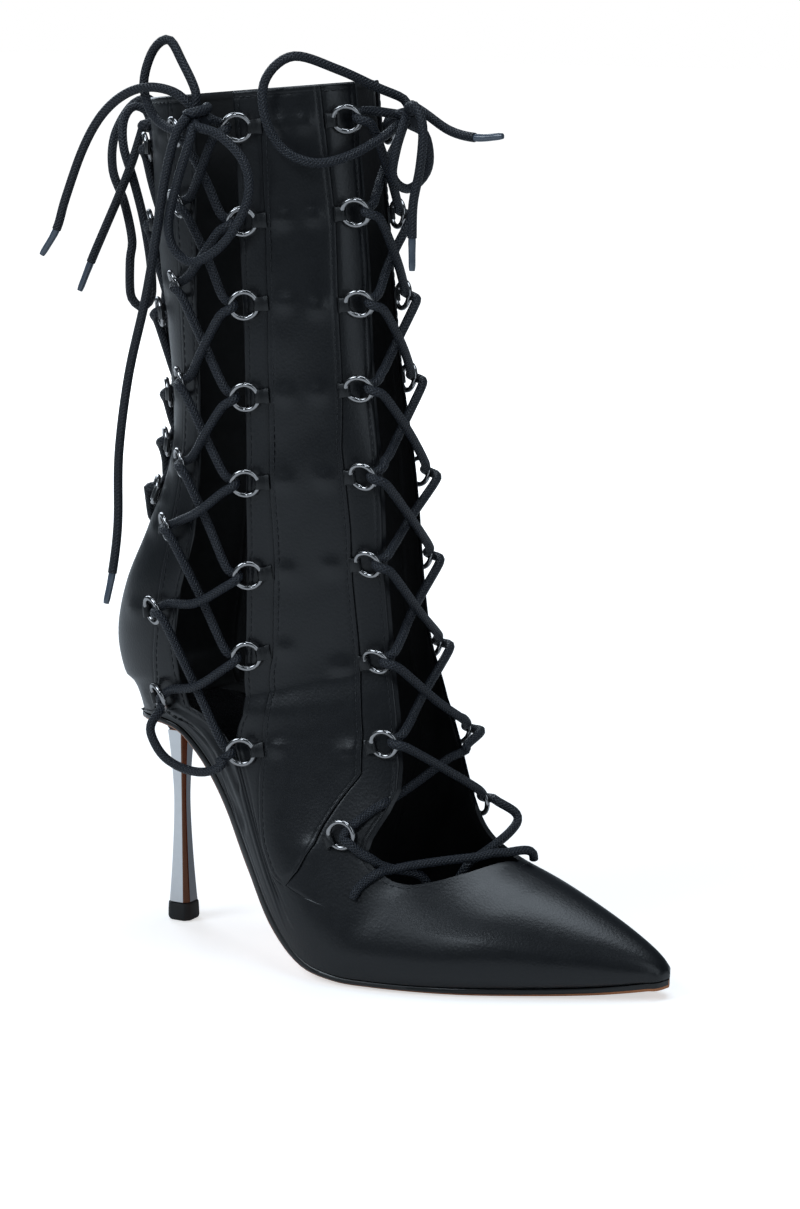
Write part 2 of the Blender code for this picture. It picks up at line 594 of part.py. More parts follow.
def make_rings(parts):
    """Metal lacing rings, lying on the strips beside the lacing gaps."""
    bpy.ops.mesh.primitive_torus_add(major_segments=10, minor_segments=4, minor_radius=RING_WIRE / 2,
                                     major_radius=(RING_OUTSIDE - RING_WIRE) / 2)
    model = bpy.context.object
    mesh = model.data
    mesh.name = "ring"
    mesh.shade_smooth()
    bpy.data.objects.remove(model)
    mesh.materials.append(material("ring_metal"))
    for column, places in RING_COLUMNS.items():
        for number in range(len(places)):
            ring = bpy.data.objects.new(f"ring_{column}_{number + 1}", mesh)
            parts.objects.link(ring)
            middle, axis = ring_seat(column, number)
            ring.matrix_world = Matrix.Translation(middle) @ axis.to_track_quat("Z", "Y").to_matrix().to_4x4()


def cord_mesh(name, points, sides):
    """Closed tube along the points, as a mesh with its caps welded on."""
    data = bpy.data.curves.new(name, "CURVE")
    data.dimensions = "3D"
    data.bevel_depth = LACE_DIAMETER / 2
    data.bevel_resolution = (sides - 4) // 2
    data.use_fill_caps = True
    spline = data.splines.new("POLY")
    spline.points.add(len(points) - 1)
    for place, point in zip(spline.points, points):
        place.co = (*point, 1)
    tube = bpy.data.objects.new(name, data)
    bpy.context.scene.collection.objects.link(tube)
    evaluated = tube.evaluated_get(bpy.context.evaluated_depsgraph_get())
    mesh = bpy.data.meshes.new_from_object(evaluated)
    mesh.transform(tube.matrix_world)
    bpy.data.objects.remove(tube)
    form = bmesh.new()
    form.from_mesh(mesh)
    bmesh.ops.remove_doubles(form, verts=form.verts, dist=0.01 * MM)
    form.to_mesh(mesh)
    form.free()
    mesh.name = name
    return mesh


def crossing(start, end, is_open, lift):
    """Lace from ring to ring over the wall and straight across the gap; start and end are places on the wall."""
    height = PANEL_STEP + 2 * GAP + RING_WIRE + LACE_DIAMETER / 2 + lift
    reach = abs(end[1] - start[1])
    leave = min(RING_EXIT / reach, 0.45)
    steps = [leave * k for k in range(1, 1 + int(0.49 / leave))]
    shares = [0.0] + steps + [1 - t for t in reversed(steps)] + [1.0]
    points = []
    for t in shares:
        row = start[0] + (end[0] - start[0]) * t
        way = start[1] + (end[1] - start[1]) * t
        far_from_ring = leave * 1.01 < t < 1 - leave * 1.01
        if not (far_from_ring and is_open(row, way)):
            points.append(over_skin(row, way, height))
    return points


def in_front_gap(row, way):
    edge = straight_value(FRONT_GAP_OUTER if way < 0 else FRONT_GAP_INNER, row) * BALL_WIDTH
    return abs(way) < edge


def in_side_gap(row, way):
    front = straight_value(SIDE_GAP_FRONT, row) * BALL_WIDTH
    back = straight_value(SIDE_GAP_BACK, row) * BALL_WIDTH
    return front < -way < back


def closed_wall(row, way):
    return False


def knot_places(lacing):
    """Middles of the lace at the two top rings of a lacing, with its knot between them."""
    first, second, offset = LACINGS[lacing]
    height = RING_WIRE / 2 + 2 * GAP + LACE_DIAMETER / 2 + LACE_LIFT
    ends = []
    for column in (first, second):
        middle, axis = ring_seat(column, 0)
        ends.append(middle + axis * height)
    return [ends[0], ends[0].lerp(ends[1], 0.5) + Vector(offset) * MM, ends[1]]


def make_lacing(lacing, is_open, parts, tools):
    """Crossings of one lace: two zigzags joined where they cross."""
    name = f"lace_{lacing}"
    first, second, _ = LACINGS[lacing]
    routes = []
    for start in (0, 1):
        points = []
        for number in range(len(RING_COLUMNS[first]) - 1):
            one, other = (first, second) if (number + start) % 2 == 0 else (second, first)
            here = ring_place(one, number)
            there = ring_place(other, number + 1)
            if first.startswith("back"):
                seam = line_length(half_section(here[0], -1))
                there = (there[0], math.copysign(2 * seam - abs(there[1]), here[1]))
            arm = crossing(here, there, is_open, LACE_LIFT * (1 + start))
            points += arm if not points else arm[1:]
        routes.append(points)
    routes.append(knot_places(lacing))
    lace = add_object(name, cord_mesh(name, routes[0], 6), parts, "lace_cord")
    for label, route in (("_return", routes[1]), ("_top", routes[2])):
        other = add_object(name + label, cord_mesh(name + label, route, 6), tools)
        hide_tool(other)
        combine(lace, other, "UNION")


def smooth_route(places, spacing):
    """Points at an even spacing on a smooth curve through the chosen ones."""
    padded = [2 * places[0] - places[1]] + places + [2 * places[-1] - places[-2]]
    fine = []
    for a, b, c, d in zip(padded, padded[1:], padded[2:], padded[3:]):
        for k in range(8):
            t = k / 8
            fine.append(0.5 * (2 * b + (c - a) * t + (2 * a - 5 * b + 4 * c - d) * t * t
                               + (3 * b - a - 3 * c + d) * t**3))
    fine.append(places[-1])
    count = max(2, round(line_length(fine) / spacing))
    return [along(fine, line_length(fine) * i / count) for i in range(count)] + [fine[-1]]


def make_bows(parts):
    """Loops and free ends of the laces, each one tube."""
    for lacing, points in BOWS.items():
        name = f"bow_{lacing}"
        knot = knot_places(lacing)[1]
        route = smooth_route([knot + Vector(p) * MM for p in points], 2.4 * LACE_DIAMETER)
        data = bpy.data.curves.new(name, "CURVE")
        data.dimensions = "3D"
        data.bevel_depth = LACE_DIAMETER / 2
        data.bevel_resolution = 2
        data.use_fill_caps = True
        spline = data.splines.new("POLY")
        spline.points.add(len(route) - 1)
        for place, point in zip(spline.points, route):
            place.co = (*point, 1)
        add_object(name, data, parts, "lace_cord")


def main():
    for item in list(bpy.data.objects):
        bpy.data.objects.remove(item)
    parts = bpy.data.collections.new("Lace up ankle boot")
    tools = bpy.data.collections.new("Cutters")
    bpy.context.scene.collection.children.link(parts)
    bpy.context.scene.collection.children.link(tools)
    make_upper(parts)
    make_outsole(parts)
    make_insole(parts)
    make_heel(parts)
    make_rings(parts)
    make_lacing("front", in_front_gap, parts, tools)
    make_lacing("side", in_side_gap, parts, tools)
    make_lacing("back", closed_wall, parts, tools)
    make_bows(parts)


main()
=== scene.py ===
"""Looks of the lace up ankle boot: leather upper, laces through metal rings, slim metal heel."""

import bisect
import functools
import itertools
import math

import bmesh
import bpy
import numpy as np
from mathutils import Matrix, Vector
from mathutils.bvhtree import BVHTree


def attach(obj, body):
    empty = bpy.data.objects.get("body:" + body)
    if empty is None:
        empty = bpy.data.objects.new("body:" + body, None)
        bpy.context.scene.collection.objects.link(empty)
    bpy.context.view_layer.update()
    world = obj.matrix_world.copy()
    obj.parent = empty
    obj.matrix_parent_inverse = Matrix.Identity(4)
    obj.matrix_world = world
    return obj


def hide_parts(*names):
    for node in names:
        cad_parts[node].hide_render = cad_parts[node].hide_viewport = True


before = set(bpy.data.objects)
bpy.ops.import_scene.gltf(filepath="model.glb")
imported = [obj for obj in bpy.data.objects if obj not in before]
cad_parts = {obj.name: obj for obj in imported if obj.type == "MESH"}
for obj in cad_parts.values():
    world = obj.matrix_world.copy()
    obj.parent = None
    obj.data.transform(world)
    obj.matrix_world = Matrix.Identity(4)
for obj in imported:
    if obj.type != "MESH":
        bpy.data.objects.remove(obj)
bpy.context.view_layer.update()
bpy.ops.object.select_all(action="DESELECT")

# Sizes and tables of the part's own source
MM = 0.001
TOE_REACH = 212 * MM
SEAT_HEIGHT = 88 * MM
SHAFT_HEIGHT = 240 * MM
BALL_WIDTH = 80 * MM
WALL = 1.6 * MM
GAP = 0.3 * MM
SEAT_GAP = 0.5 * MM
SOLE_THICKNESS = 3.5 * MM
INSOLE_THICKNESS = 1.6 * MM
INSOLE_INSET = 1.5 * MM
PANEL_STEP = 0.6 * MM
RING_OUTSIDE = 12.0 * MM
RING_WIRE = 1.6 * MM
LACE_DIAMETER = 3.5 * MM
LACE_LIFT = 0.5 * MM
HEEL_TOP_WIDTH = 9.3 * MM
HEEL_WAIST_WIDTH = 5.6 * MM
HEEL_FOOT_WIDTH = 9.5 * MM
HEEL_WAIST_HEIGHT = 49 * MM
HEEL_FLAT = 0.62
BLOCK_HEIGHT = 78 * MM
LIFT_WIDTH = 10.6 * MM
LIFT_HEIGHT = 7.0 * MM
HEEL_ROW = 8
SIDE_GAP_END = 10.05
FRONT_GAP_END = 14.2
PANEL_END = 12.05

# Share of the length from the heel, then share of the seat height
FOOTBED = (
    (-0.052, 0.984), (0.0, 1.0), (0.038, 1.0), (0.075, 0.974), (0.113, 0.901), (0.184, 0.688), (0.245, 0.443),
    (0.311, 0.203), (0.382, 0.052), (0.448, 0.008), (0.53, 0.0), (0.65, 0.0), (0.78, 0.003), (0.90, 0.018),
    (1.0, 0.047),
)
# Share of the length, then share of the sole's thickness
SOLE_SHARES = ((-0.06, 0.85), (0.08, 0.9), (0.22, 1.4), (0.34, 1.3), (0.45, 1.0), (0.70, 1.0), (1.0, 1.0))
# Share of the length, then half widths on the outer and the inner side as shares of the ball width
OUTLINE = (
    (-0.052, 0.0, 0.0), (-0.045, 0.13, 0.13), (-0.028, 0.215, 0.215), (0.0, 0.285, 0.28), (0.035, 0.32, 0.31),
    (0.09, 0.335, 0.31), (0.16, 0.355, 0.285), (0.23, 0.42, 0.27), (0.30, 0.505, 0.29), (0.37, 0.565, 0.345),
    (0.44, 0.59, 0.40), (0.51, 0.58, 0.425), (0.59, 0.54, 0.41), (0.67, 0.47, 0.37), (0.76, 0.36, 0.295),
    (0.85, 0.245, 0.21), (0.92, 0.155, 0.14), (0.97, 0.085, 0.08), (0.995, 0.04, 0.037), (1.0, 0.0, 0.0),
)
# Sections from collar to toe: front ridge and back seam (shares of length, seat height and shaft height),
# half widths on both sides, share of the depth where it is widest, and the fullness in front and behind
SECTIONS = (
    (0.406, 1.0, 1.017, -0.028, 1.0, 0.983, 0.41, 0.41, 0.50, 1.00, 1.00),
    (0.429, 1.0, 0.800, -0.014, 1.0, 0.763, 0.41, 0.41, 0.50, 1.00, 1.00),
    (0.453, 1.0, 0.579, 0.012, 1.0, 0.542, 0.405, 0.405, 0.50, 1.00, 1.00),
    (0.481, 1.0, 0.450, 0.005, 1.0, 0.412, 0.41, 0.41, 0.47, 1.03, 0.98),
    (0.505, 1.0, 0.350, -0.042, 1.0, 0.300, 0.42, 0.415, 0.43, 1.08, 0.95),
    (0.520, 1.0, 0.285, -0.088, 1.0, 0.208, 0.43, 0.42, 0.40, 1.12, 0.92),
    (0.533, 1.0, 0.230, -0.107, 1.0, 0.125, 0.435, 0.42, 0.38, 1.15, 0.90),
    (0.545, 1.0, 0.180, -0.094, 1.0, 0.058, 0.43, 0.415, 0.37, 1.17, 0.90),
    (0.555, 1.0, 0.137, -0.052, 0.985, 0.0, 0.42, 0.405, 0.37, 1.18, 0.90),
    (0.566, 1.0, 0.090, 0.035, 0.0, 0.0, 0.425, 0.405, 0.36, 1.18, 0.95),
    (0.578, 1.0, 0.042, 0.113, 0.0, 0.0, 0.43, 0.395, 0.33, 1.18, 1.0),
    (0.592, 0.95, 0.0, 0.198, 0.0, 0.0, 0.475, 0.375, 0.29, 1.18, 1.0),
    (0.610, 0.775, 0.0, 0.283, 0.0, 0.0, 0.555, 0.375, 0.24, 1.18, 1.0),
    (0.638, 0.615, 0.0, 0.377, 0.0, 0.0, 0.605, 0.41, 0.20, 1.18, 1.0),
    (0.690, 0.515, 0.0, 0.495, 0.0, 0.0, 0.60, 0.455, 0.17, 1.18, 1.0),
    (0.778, 0.43, 0.0, 0.637, 0.0, 0.0, 0.52, 0.415, 0.15, 1.16, 1.0),
    (0.873, 0.325, 0.0, 0.778, 0.0, 0.0, 0.36, 0.30, 0.14, 1.12, 1.0),
    (0.943, 0.235, 0.0, 0.896, 0.0, 0.0, 0.205, 0.185, 0.14, 1.08, 1.0),
    (0.986, 0.162, 0.0, 0.970, 0.0, 0.0, 0.095, 0.09, 0.15, 1.0, 1.0),
    (1.000, 0.115, 0.0, 1.000, 0.0, 0.0, 0.01, 0.01, 0.2, 1.0, 1.0),
)
LAST_ROW = len(SECTIONS) - 1
NUMBERED = [(float(i),) + row for i, row in enumerate(SECTIONS)]

# Lines on the upper: section row, then way round from the front ridge as a share of the ball width
SIDE_GAP_FRONT = (
    (0.0, 0.70), (0.4, 0.71), (1.65, 0.75), (3.45, 0.85), (5.75, 0.925), (9.1, 1.05), (10.05, 1.14), (12.05, 1.13),
    (12.6, 1.12), (13.2, 1.075), (14.2, 0.945),
)
SIDE_GAP_BACK = (
    (0.0, 0.91), (0.4, 0.925), (1.4, 1.01), (3.2, 1.11), (4.05, 1.16), (5.1, 1.26), (6.35, 1.34), (7.55, 1.35),
    (8.2, 1.32), (9.3, 1.24), (10.05, 1.155), (12.05, 1.15), (12.6, 1.17), (13.2, 1.12), (14.2, 0.97),
)
FRONT_GAP_OUTER = (
    (0.0, 0.11), (1.3, 0.12), (2.3, 0.16), (4.4, 0.225), (7.3, 0.265), (9.75, 0.30), (10.9, 0.34), (11.35, 0.38),
    (11.65, 0.46), (11.95, 0.575), (12.15, 0.625), (12.45, 0.61), (12.9, 0.56), (13.2, 0.50), (13.5, 0.39),
    (13.8, 0.24), (14.05, 0.06), (14.2, 0.015),
)
FRONT_GAP_INNER = (
    (0.0, 0.11), (1.3, 0.13), (2.3, 0.16), (4.4, 0.21), (7.3, 0.24), (9.75, 0.21), (10.9, 0.13), (11.65, 0.105),
    (12.9, 0.112), (14.0, 0.125), (14.2, 0.105),
)
PANEL_SIDE_EDGE = (
    (0.0, 0.565), (0.8, 0.59), (1.45, 0.615), (2.1, 0.65), (3.2, 0.715), (4.75, 0.75), (6.9, 0.825), (10.1, 0.975),
    (10.9, 1.06), (11.45, 1.12), (11.85, 1.115), (12.05, 1.065), (12.6, 1.07), (13.2, 1.03), (14.2, 0.92),
)
PANEL_FRONT_EDGE = (
    (0.0, 0.285), (0.95, 0.265), (1.5, 0.285), (2.1, 0.30), (2.85, 0.35), (4.05, 0.365), (5.3, 0.39), (7.65, 0.415),
    (10.1, 0.475), (10.9, 0.525), (11.15, 0.625), (11.5, 0.765), (11.7, 0.83), (11.95, 0.96), (12.05, 1.055),
    (12.6, 0.90), (13.2, 0.80), (14.2, 0.65),
)
# Seam of the strip behind the side lacing, and the two plain seams of the inner side
BACK_STRIP = ((0.0, 1.09), (1.2, 1.125), (4.65, 1.375), (6.55, 1.49), (7.75, 1.54), (9.0, 1.5), (10.05, 1.3))
INNER_FRONT = (
    (0.0, 0.285), (0.95, 0.265), (2.1, 0.31), (4.05, 0.365), (7.65, 0.405), (10.1, 0.44), (11.0, 0.52),
    (11.8, 0.75), (12.5, 1.0), (13.0, 1.05), (14.2, 0.9),
)
INNER_BACK = ((0.0, 1.09), (1.2, 1.125), (4.65, 1.375), (6.55, 1.49), (7.75, 1.54), (9.0, 1.45), (10.05, 1.3))

# Rings: section row, then way round as a share of the ball width
RING_COLUMNS = {
    "front_outer": ((0.25, -0.19), (0.9, -0.185), (1.5, -0.20), (2.15, -0.235), (3.25, -0.27), (4.9, -0.30),
                    (7.8, -0.33), (10.4, -0.385), (11.75, -0.69)),
    "front_inner": ((0.35, 0.19), (0.95, 0.19), (1.5, 0.21), (2.15, 0.24), (3.4, 0.275), (5.1, 0.305),
                    (7.85, 0.325), (10.6, 0.23), (12.25, 0.19)),
    "side_front": ((0.25, 0.675), (0.90, 0.69), (1.45, 0.715), (2.15, 0.755), (3.25, 0.82), (4.9, 0.87),
                   (6.9, 0.945), (10.15, 1.075)),
    "side_back": ((0.25, 1.01), (0.75, 1.05), (1.3, 1.10), (2.0, 1.15), (3.0, 1.21), (3.95, 1.31), (5.55, 1.42),
                  (7.85, 1.48)),
    "back_outer": ((0.35, -0.11), (0.9, -0.11), (1.5, -0.11), (2.15, -0.11), (2.8, -0.11), (3.5, -0.11)),
    "back_inner": ((0.35, 0.11), (0.9, 0.11), (1.5, 0.11), (2.15, 0.11), (2.8, 0.11), (3.5, 0.11)),
}
BESIDE_PANEL = ("front_outer", "side_front")
BACK_RING_LIFTS = (0.3 * MM, 0.3 * MM, 0.3 * MM, 0.5 * MM, 0.6 * MM, 0.15 * MM)
ALL_RINGS = [(column, number) for column, places in RING_COLUMNS.items() for number in range(len(places))]
# From each ring, the way round in which its leather tab lies
TAB_SIDE = {"front_outer": -1, "front_inner": 1, "side_front": 1, "side_back": -1, "back_outer": 1, "back_inner": -1}
# Ring columns of each lacing, and its knot's place beside its top rings in millimetres
LACINGS = {
    "front": ("front_outer", "front_inner", (15.6, -0.8, 4.3)),
    "side": ("side_front", "side_back", (1.7, -1.8, 6.5)),
    "back": ("back_outer", "back_inner", (-5.4, 5.8, 7.6)),
}


def smooth_value(table, column, place):
    """Value of a table's column at a place, on a smooth line through its rows."""
    places = [row[0] for row in table]
    values = [row[column] for row in table]
    place = min(max(place, places[0]), places[-1])
    i = min(max(bisect.bisect_left(places, place) - 1, 0), len(places) - 2)
    step = places[i + 1] - places[i]
    t = (place - places[i]) / step
    start = slope_at(places, values, i)
    end = slope_at(places, values, i + 1)
    return ((2 * t**3 - 3 * t**2 + 1) * values[i] + (t**3 - 2 * t**2 + t) * step * start
            + (3 * t**2 - 2 * t**3) * values[i + 1] + (t**3 - t**2) * step * end)


def slope_at(places, values, i):
    """Slope of the smooth line at one of its rows."""
    if i == 0:
        return (values[1] - values[0]) / (places[1] - places[0])
    if i == len(places) - 1:
        return (values[-1] - values[-2]) / (places[-1] - places[-2])
    before = places[i] - places[i - 1]
    after = places[i + 1] - places[i]
    rise = (values[i + 1] - values[i]) / after
    fall = (values[i] - values[i - 1]) / before
    return (before * rise + after * fall) / (before + after)


def straight_value(table, place):
    """Value of a two-column table at a place, on straight lines between its rows."""
    place = min(max(place, table[0][0]), table[-1][0])
    for low, high in zip(table, table[1:]):
        if place <= high[0]:
            return low[1] + (high[1] - low[1]) * (place - low[0]) / (high[0] - low[0])
    return table[-1][1]


def footbed(x):
    """Height of the outsole's top face."""
    share = smooth_value(FOOTBED, 1, x / TOE_REACH)
    return SOLE_THICKNESS + max(share, 0.0) * (SEAT_HEIGHT - SOLE_THICKNESS)


def underside(x):
    """Height of the outsole's lower face, never below the floor."""
    step = 1 * MM
    slope = (footbed(x + step) - footbed(x - step)) / (2 * step)
    thickness = SOLE_THICKNESS * smooth_value(SOLE_SHARES, 1, x / TOE_REACH)
    return max(0.0, footbed(x) - thickness * math.sqrt(1 + slope * slope))


def feather(x, side):
    """Half width of the feather edge; side is -1 on the outer side and 1 on the inner side."""
    share = smooth_value(OUTLINE, 1 if side < 0 else 2, x / TOE_REACH)
    return max(0.0, share * BALL_WIDTH)


@functools.lru_cache(maxsize=None)
def half_section(row, side, steps=48):
    """Points of one half of a section, from the front ridge to the back seam or the feather edge."""
    row = min(max(row, 0.0), LAST_ROW)
    front_x, front_seat, front_up, back_x, back_seat, back_up, outer, inner, widest, front_end, back_end = [
        smooth_value(NUMBERED, column, row) for column in range(1, 12)]
    front = Vector((front_x * TOE_REACH, 0, front_seat * SEAT_HEIGHT + front_up * SHAFT_HEIGHT))
    if row < HEEL_ROW:
        back = Vector((back_x * TOE_REACH, 0, back_seat * SEAT_HEIGHT + back_up * SHAFT_HEIGHT))
        foot_width = 0.0
    else:
        back = Vector((back_x * TOE_REACH, 0, footbed(back_x * TOE_REACH)))
        foot_width = 0.0 if row == HEEL_ROW else feather(back.x, side)
    half = max((outer if side < 0 else inner) * BALL_WIDTH, foot_width * 1.001, 0.01 * MM)
    start = math.asin(min(0.9999, foot_width / half) ** (1 / back_end))
    across = math.cos(start) ** back_end
    points = []
    for i in range(steps + 1):
        angle = math.pi / 2 * i / steps
        width = half * math.sin(angle) ** front_end
        place = widest + (1 - widest) * max(math.cos(angle), 0.0) ** front_end
        points.append(back + (front - back) * place + Vector((0, side * width, 0)))
    for i in range(1, steps + 1):
        angle = math.pi / 2 + (start - math.pi / 2) * i / steps
        width = half * math.sin(angle) ** back_end
        place = widest * (1 - max(math.cos(angle), 0.0) ** back_end / across)
        points.append(back + (front - back) * place + Vector((0, side * width, 0)))
    return points


def line_length(points):
    """Length of a line of points."""
    return sum((b - a).length for a, b in zip(points, points[1:]))


def distances(points):
    """Distance of each point from the first, along their line."""
    return [0.0, *itertools.accumulate((b - a).length for a, b in zip(points, points[1:]))]


def heading(points, i):
    """Direction of a line of points at one of them."""
    return (points[min(i + 1, len(points) - 1)] - points[max(i - 1, 0)]).normalized()


def in_metres(points):
    """Vectors in metres from points in millimetres."""
    return [Vector(point) * MM for point in points]


def along(points, distance):
    """Point at a distance along a line of points."""
    for a, b in zip(points, points[1:]):
        length = (b - a).length
        if distance <= length and length > 0:
            return a.lerp(b, distance / length)
        distance -= length
    return points[-1].copy()


@functools.lru_cache(maxsize=None)
def measured(row, side):
    """A half section as an array, with the distance of each of its points from the front ridge."""
    points = np.array(half_section(row, side))
    steps = np.linalg.norm(np.diff(points, axis=0), axis=1)
    return points, np.concatenate(([0.0], np.cumsum(steps)))


def girth(row, side):
    """Length of a half section, from the front ridge to its far end."""
    return measured(row, side)[1][-1]


def skin(row, way):
    """Point of the outer face at a section row and a signed way round from the front ridge."""
    side = -1 if way < 0 else 1
    half = girth(row, side)
    if abs(way) > half:
        side, way = -side, -side * (2 * half - abs(way))
    points, run = measured(row, side)
    return Vector([np.interp(abs(way), run, points[:, k]) for k in range(3)])


NORMAL_STEP = 1.5 * MM


def skin_normal(row, way):
    """Outward normal of the outer face."""
    step = NORMAL_STEP
    rise = skin(row - 0.1, way) - skin(row + 0.1, way)
    run = skin(row, way + step) - skin(row, way - step)
    return run.cross(rise).normalized()


def line_place(table, row, side, most):
    """Way round of a line on the boot; past its table it keeps its share of the half girth."""
    half = girth(row, side)
    last = table[-1][0]
    if row > last:
        return min(straight_value(table, last) * BALL_WIDTH / girth(last, side), most) * half
    return min(straight_value(table, row) * BALL_WIDTH, most * half)


def ring_place(column, number):
    """Section row and signed way round of a ring. Rings of the back lacing count from the back seam."""
    row, share = RING_COLUMNS[column][number]
    way = share * BALL_WIDTH
    if column.startswith("back"):
        side = -1 if share < 0 else 1
        way = side * (girth(row, side) - abs(way))
    if column.startswith("side"):
        way = -way
    return row, way


def ring_seat(column, number):
    """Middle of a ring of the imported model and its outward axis."""
    row, way = ring_place(column, number)
    axis = skin_normal(row, way)
    step = PANEL_STEP if column in BESIDE_PANEL else 0.0
    if column.startswith("back"):
        step = BACK_RING_LIFTS[number]
    return skin(row, way) + axis * (step + GAP + RING_WIRE / 2), axis


def knot_place(lacing):
    """Where the two ends of a lace meet over its top rings."""
    *columns, offset = LACINGS[lacing]
    height = RING_WIRE / 2 + 2 * GAP + LACE_DIAMETER / 2 + LACE_LIFT
    ends = []
    for column in columns:
        middle, axis = ring_seat(column, 0)
        ends.append(middle + axis * height)
    return ends[0].lerp(ends[1], 0.5) + Vector(offset) * MM


# Camera, floor and light

def make_camera():
    """Camera at the photo's angle to the shoe."""
    bpy.ops.object.camera_add(location=(0.7056, -1.0952, 0.3923), rotation=(math.radians(78.474), 0, math.radians(29)))
    camera = bpy.context.object
    camera.name = "camera"
    camera.data.lens = 100.94
    camera.data.sensor_fit = "VERTICAL"
    camera.data.sensor_height = 36
    camera.data.clip_end = 20
    bpy.context.scene.camera = camera


# Soft lights: place, width, height and power
LAMPS = {
    "key": ((-0.9, -1.5, 1.7), 1.1, 1.2, 22),
    "fill": ((1.9, -0.7, 0.9), 0.6, 1.6, 4),
    "top": ((0.35, 0.2, 2.2), 1.3, 1.3, 19),
    "rim": ((-1.3, 1.0, 1.0), 0.8, 1.4, 12),
    "glint": ((0.45, -1.6, 1.25), 0.3, 0.3, 3),
}
LAMP_TARGET = Vector((0.08, 0, 0.15))
COOL_LIGHT = (0.8, 0.9, 1.0)
COOL_SURROUND = (0.7, 0.86, 1.0)
SURROUND_STRENGTH = 0.085


def make_studio():
    """Pale floor, a pale surround and soft lights."""
    bpy.ops.mesh.primitive_plane_add(size=14, location=(0, 0, -0.0004))
    floor = bpy.context.object
    floor.name = "floor"
    paint = bpy.data.materials.new("pale floor")
    paint.use_nodes = True
    tree = paint.node_tree
    shader = tree.nodes["Principled BSDF"]
    shader.inputs["Base Color"].default_value = (0.75, 0.75, 0.75, 1)
    shader.inputs["Roughness"].default_value = 0.9
    shader.inputs["Specular IOR Level"].default_value = 0.0
    shader.inputs["Emission Color"].default_value = (1, 1, 1, 1)
    seen = node(tree, "ShaderNodeLightPath")
    place = node(tree, "ShaderNodeTexCoord")
    far = node(tree, "ShaderNodeVectorMath", operation="LENGTH")
    tree.links.new(place.outputs["Object"], far.inputs[0])
    spread = node(tree, "ShaderNodeMapRange", interpolation_type="SMOOTHSTEP",
                  sockets={"From Min": 0.25, "From Max": 1.3, "To Min": 0.6, "To Max": 1.0})
    tree.links.new(far.outputs["Value"], spread.inputs["Value"])
    glow = math_node(tree, "MULTIPLY", seen.outputs["Is Camera Ray"], spread.outputs["Result"])
    tree.links.new(glow, shader.inputs["Emission Strength"])
    floor.data.materials.append(paint)
    world = bpy.data.worlds.new("studio")
    bpy.context.scene.world = world
    world.use_nodes = True
    tree = world.node_tree
    back = tree.nodes["Background"]
    seen = node(tree, "ShaderNodeLightPath")
    lit = node(tree, "ShaderNodeMapRange", sockets={"To Min": SURROUND_STRENGTH, "To Max": 1.0})
    tree.links.new(seen.outputs["Is Camera Ray"], lit.inputs["Value"])
    tree.links.new(lit.outputs["Result"], back.inputs["Strength"])
    tree.links.new(mixed(tree, seen.outputs["Is Camera Ray"], COOL_SURROUND, (1, 1, 1)), back.inputs["Color"])
    for name, (place, wide, tall, power) in LAMPS.items():
        bpy.ops.object.light_add(type="AREA", location=place)
        lamp = bpy.context.object
        lamp.name = name
        lamp.data.shape = "RECTANGLE"
        lamp.data.size = wide
        lamp.data.size_y = tall
        lamp.data.energy = power
        lamp.data.color = COOL_LIGHT
        aim = LAMP_TARGET - Vector(place)
        lamp.rotation_euler = aim.to_track_quat("-Z", "Y").to_euler()
    bpy.context.scene.view_settings.view_transform = "Standard"


# Finishes

def new_group(name, inputs, outputs):
    """New node group with its sockets, and its input and output nodes."""
    group = bpy.data.node_groups.new(name, "ShaderNodeTree")
    for label, kind, value in inputs:
        socket = group.interface.new_socket(name=label, in_out="INPUT", socket_type=kind)
        if value is not None:
            socket.default_value = value
    for label, kind in outputs:
        group.interface.new_socket(name=label, in_out="OUTPUT", socket_type=kind)
    return group, group.nodes.new("NodeGroupInput"), group.nodes.new("NodeGroupOutput")


def node(tree, kind, **values):
    """New node of a tree. Keywords set its properties, and values of its inputs go in a dict."""
    made = tree.nodes.new(kind)
    sockets = values.pop("sockets", {})
    for key, value in values.items():
        setattr(made, key, value)
    for key, value in sockets.items():
        made.inputs[key].default_value = value
    return made


def math_node(tree, operation, first, second=None):
    """Sum node with plain numbers or links as its inputs."""
    made = node(tree, "ShaderNodeMath", operation=operation)
    for place, value in enumerate((first, second)):
        if value is None:
            continue
        if isinstance(value, (int, float)):
            made.inputs[place].default_value = value
        else:
            tree.links.new(value, made.inputs[place])
    return made.outputs[0]


def noise(tree, place, scale, detail, roughness=0.5):
    """Factor of a noise texture."""
    made = node(tree, "ShaderNodeTexNoise", sockets={"Scale": scale, "Detail": detail, "Roughness": roughness})
    tree.links.new(place, made.inputs["Vector"])
    return made.outputs["Fac"]


def make_leather_grain():
    """Fine pebbled grain, slow unevenness and small dull marks of a coated leather."""
    group, given, out = new_group(
        "leather grain",
        (("Vector", "NodeSocketVector", None), ("Size", "NodeSocketFloat", 900.0)),
        (("Height", "NodeSocketFloat"), ("Dull", "NodeSocketFloat")))
    place = given.outputs["Vector"]
    cells = node(group, "ShaderNodeTexVoronoi", feature="F1")
    group.links.new(place, cells.inputs["Vector"])
    group.links.new(given.outputs["Size"], cells.inputs["Scale"])
    grain = math_node(group, "ADD", math_node(group, "MULTIPLY", cells.outputs["Distance"], 0.8),
                      math_node(group, "MULTIPLY", noise(group, place, 1500.0, 3.0), 0.5))
    slow = math_node(group, "MULTIPLY", noise(group, place, 55.0, 2.0), 0.25)
    group.links.new(math_node(group, "ADD", grain, slow), out.inputs["Height"])
    group.links.new(noise(group, place, 160.0, 5.0, 0.7), out.inputs["Dull"])
    return group


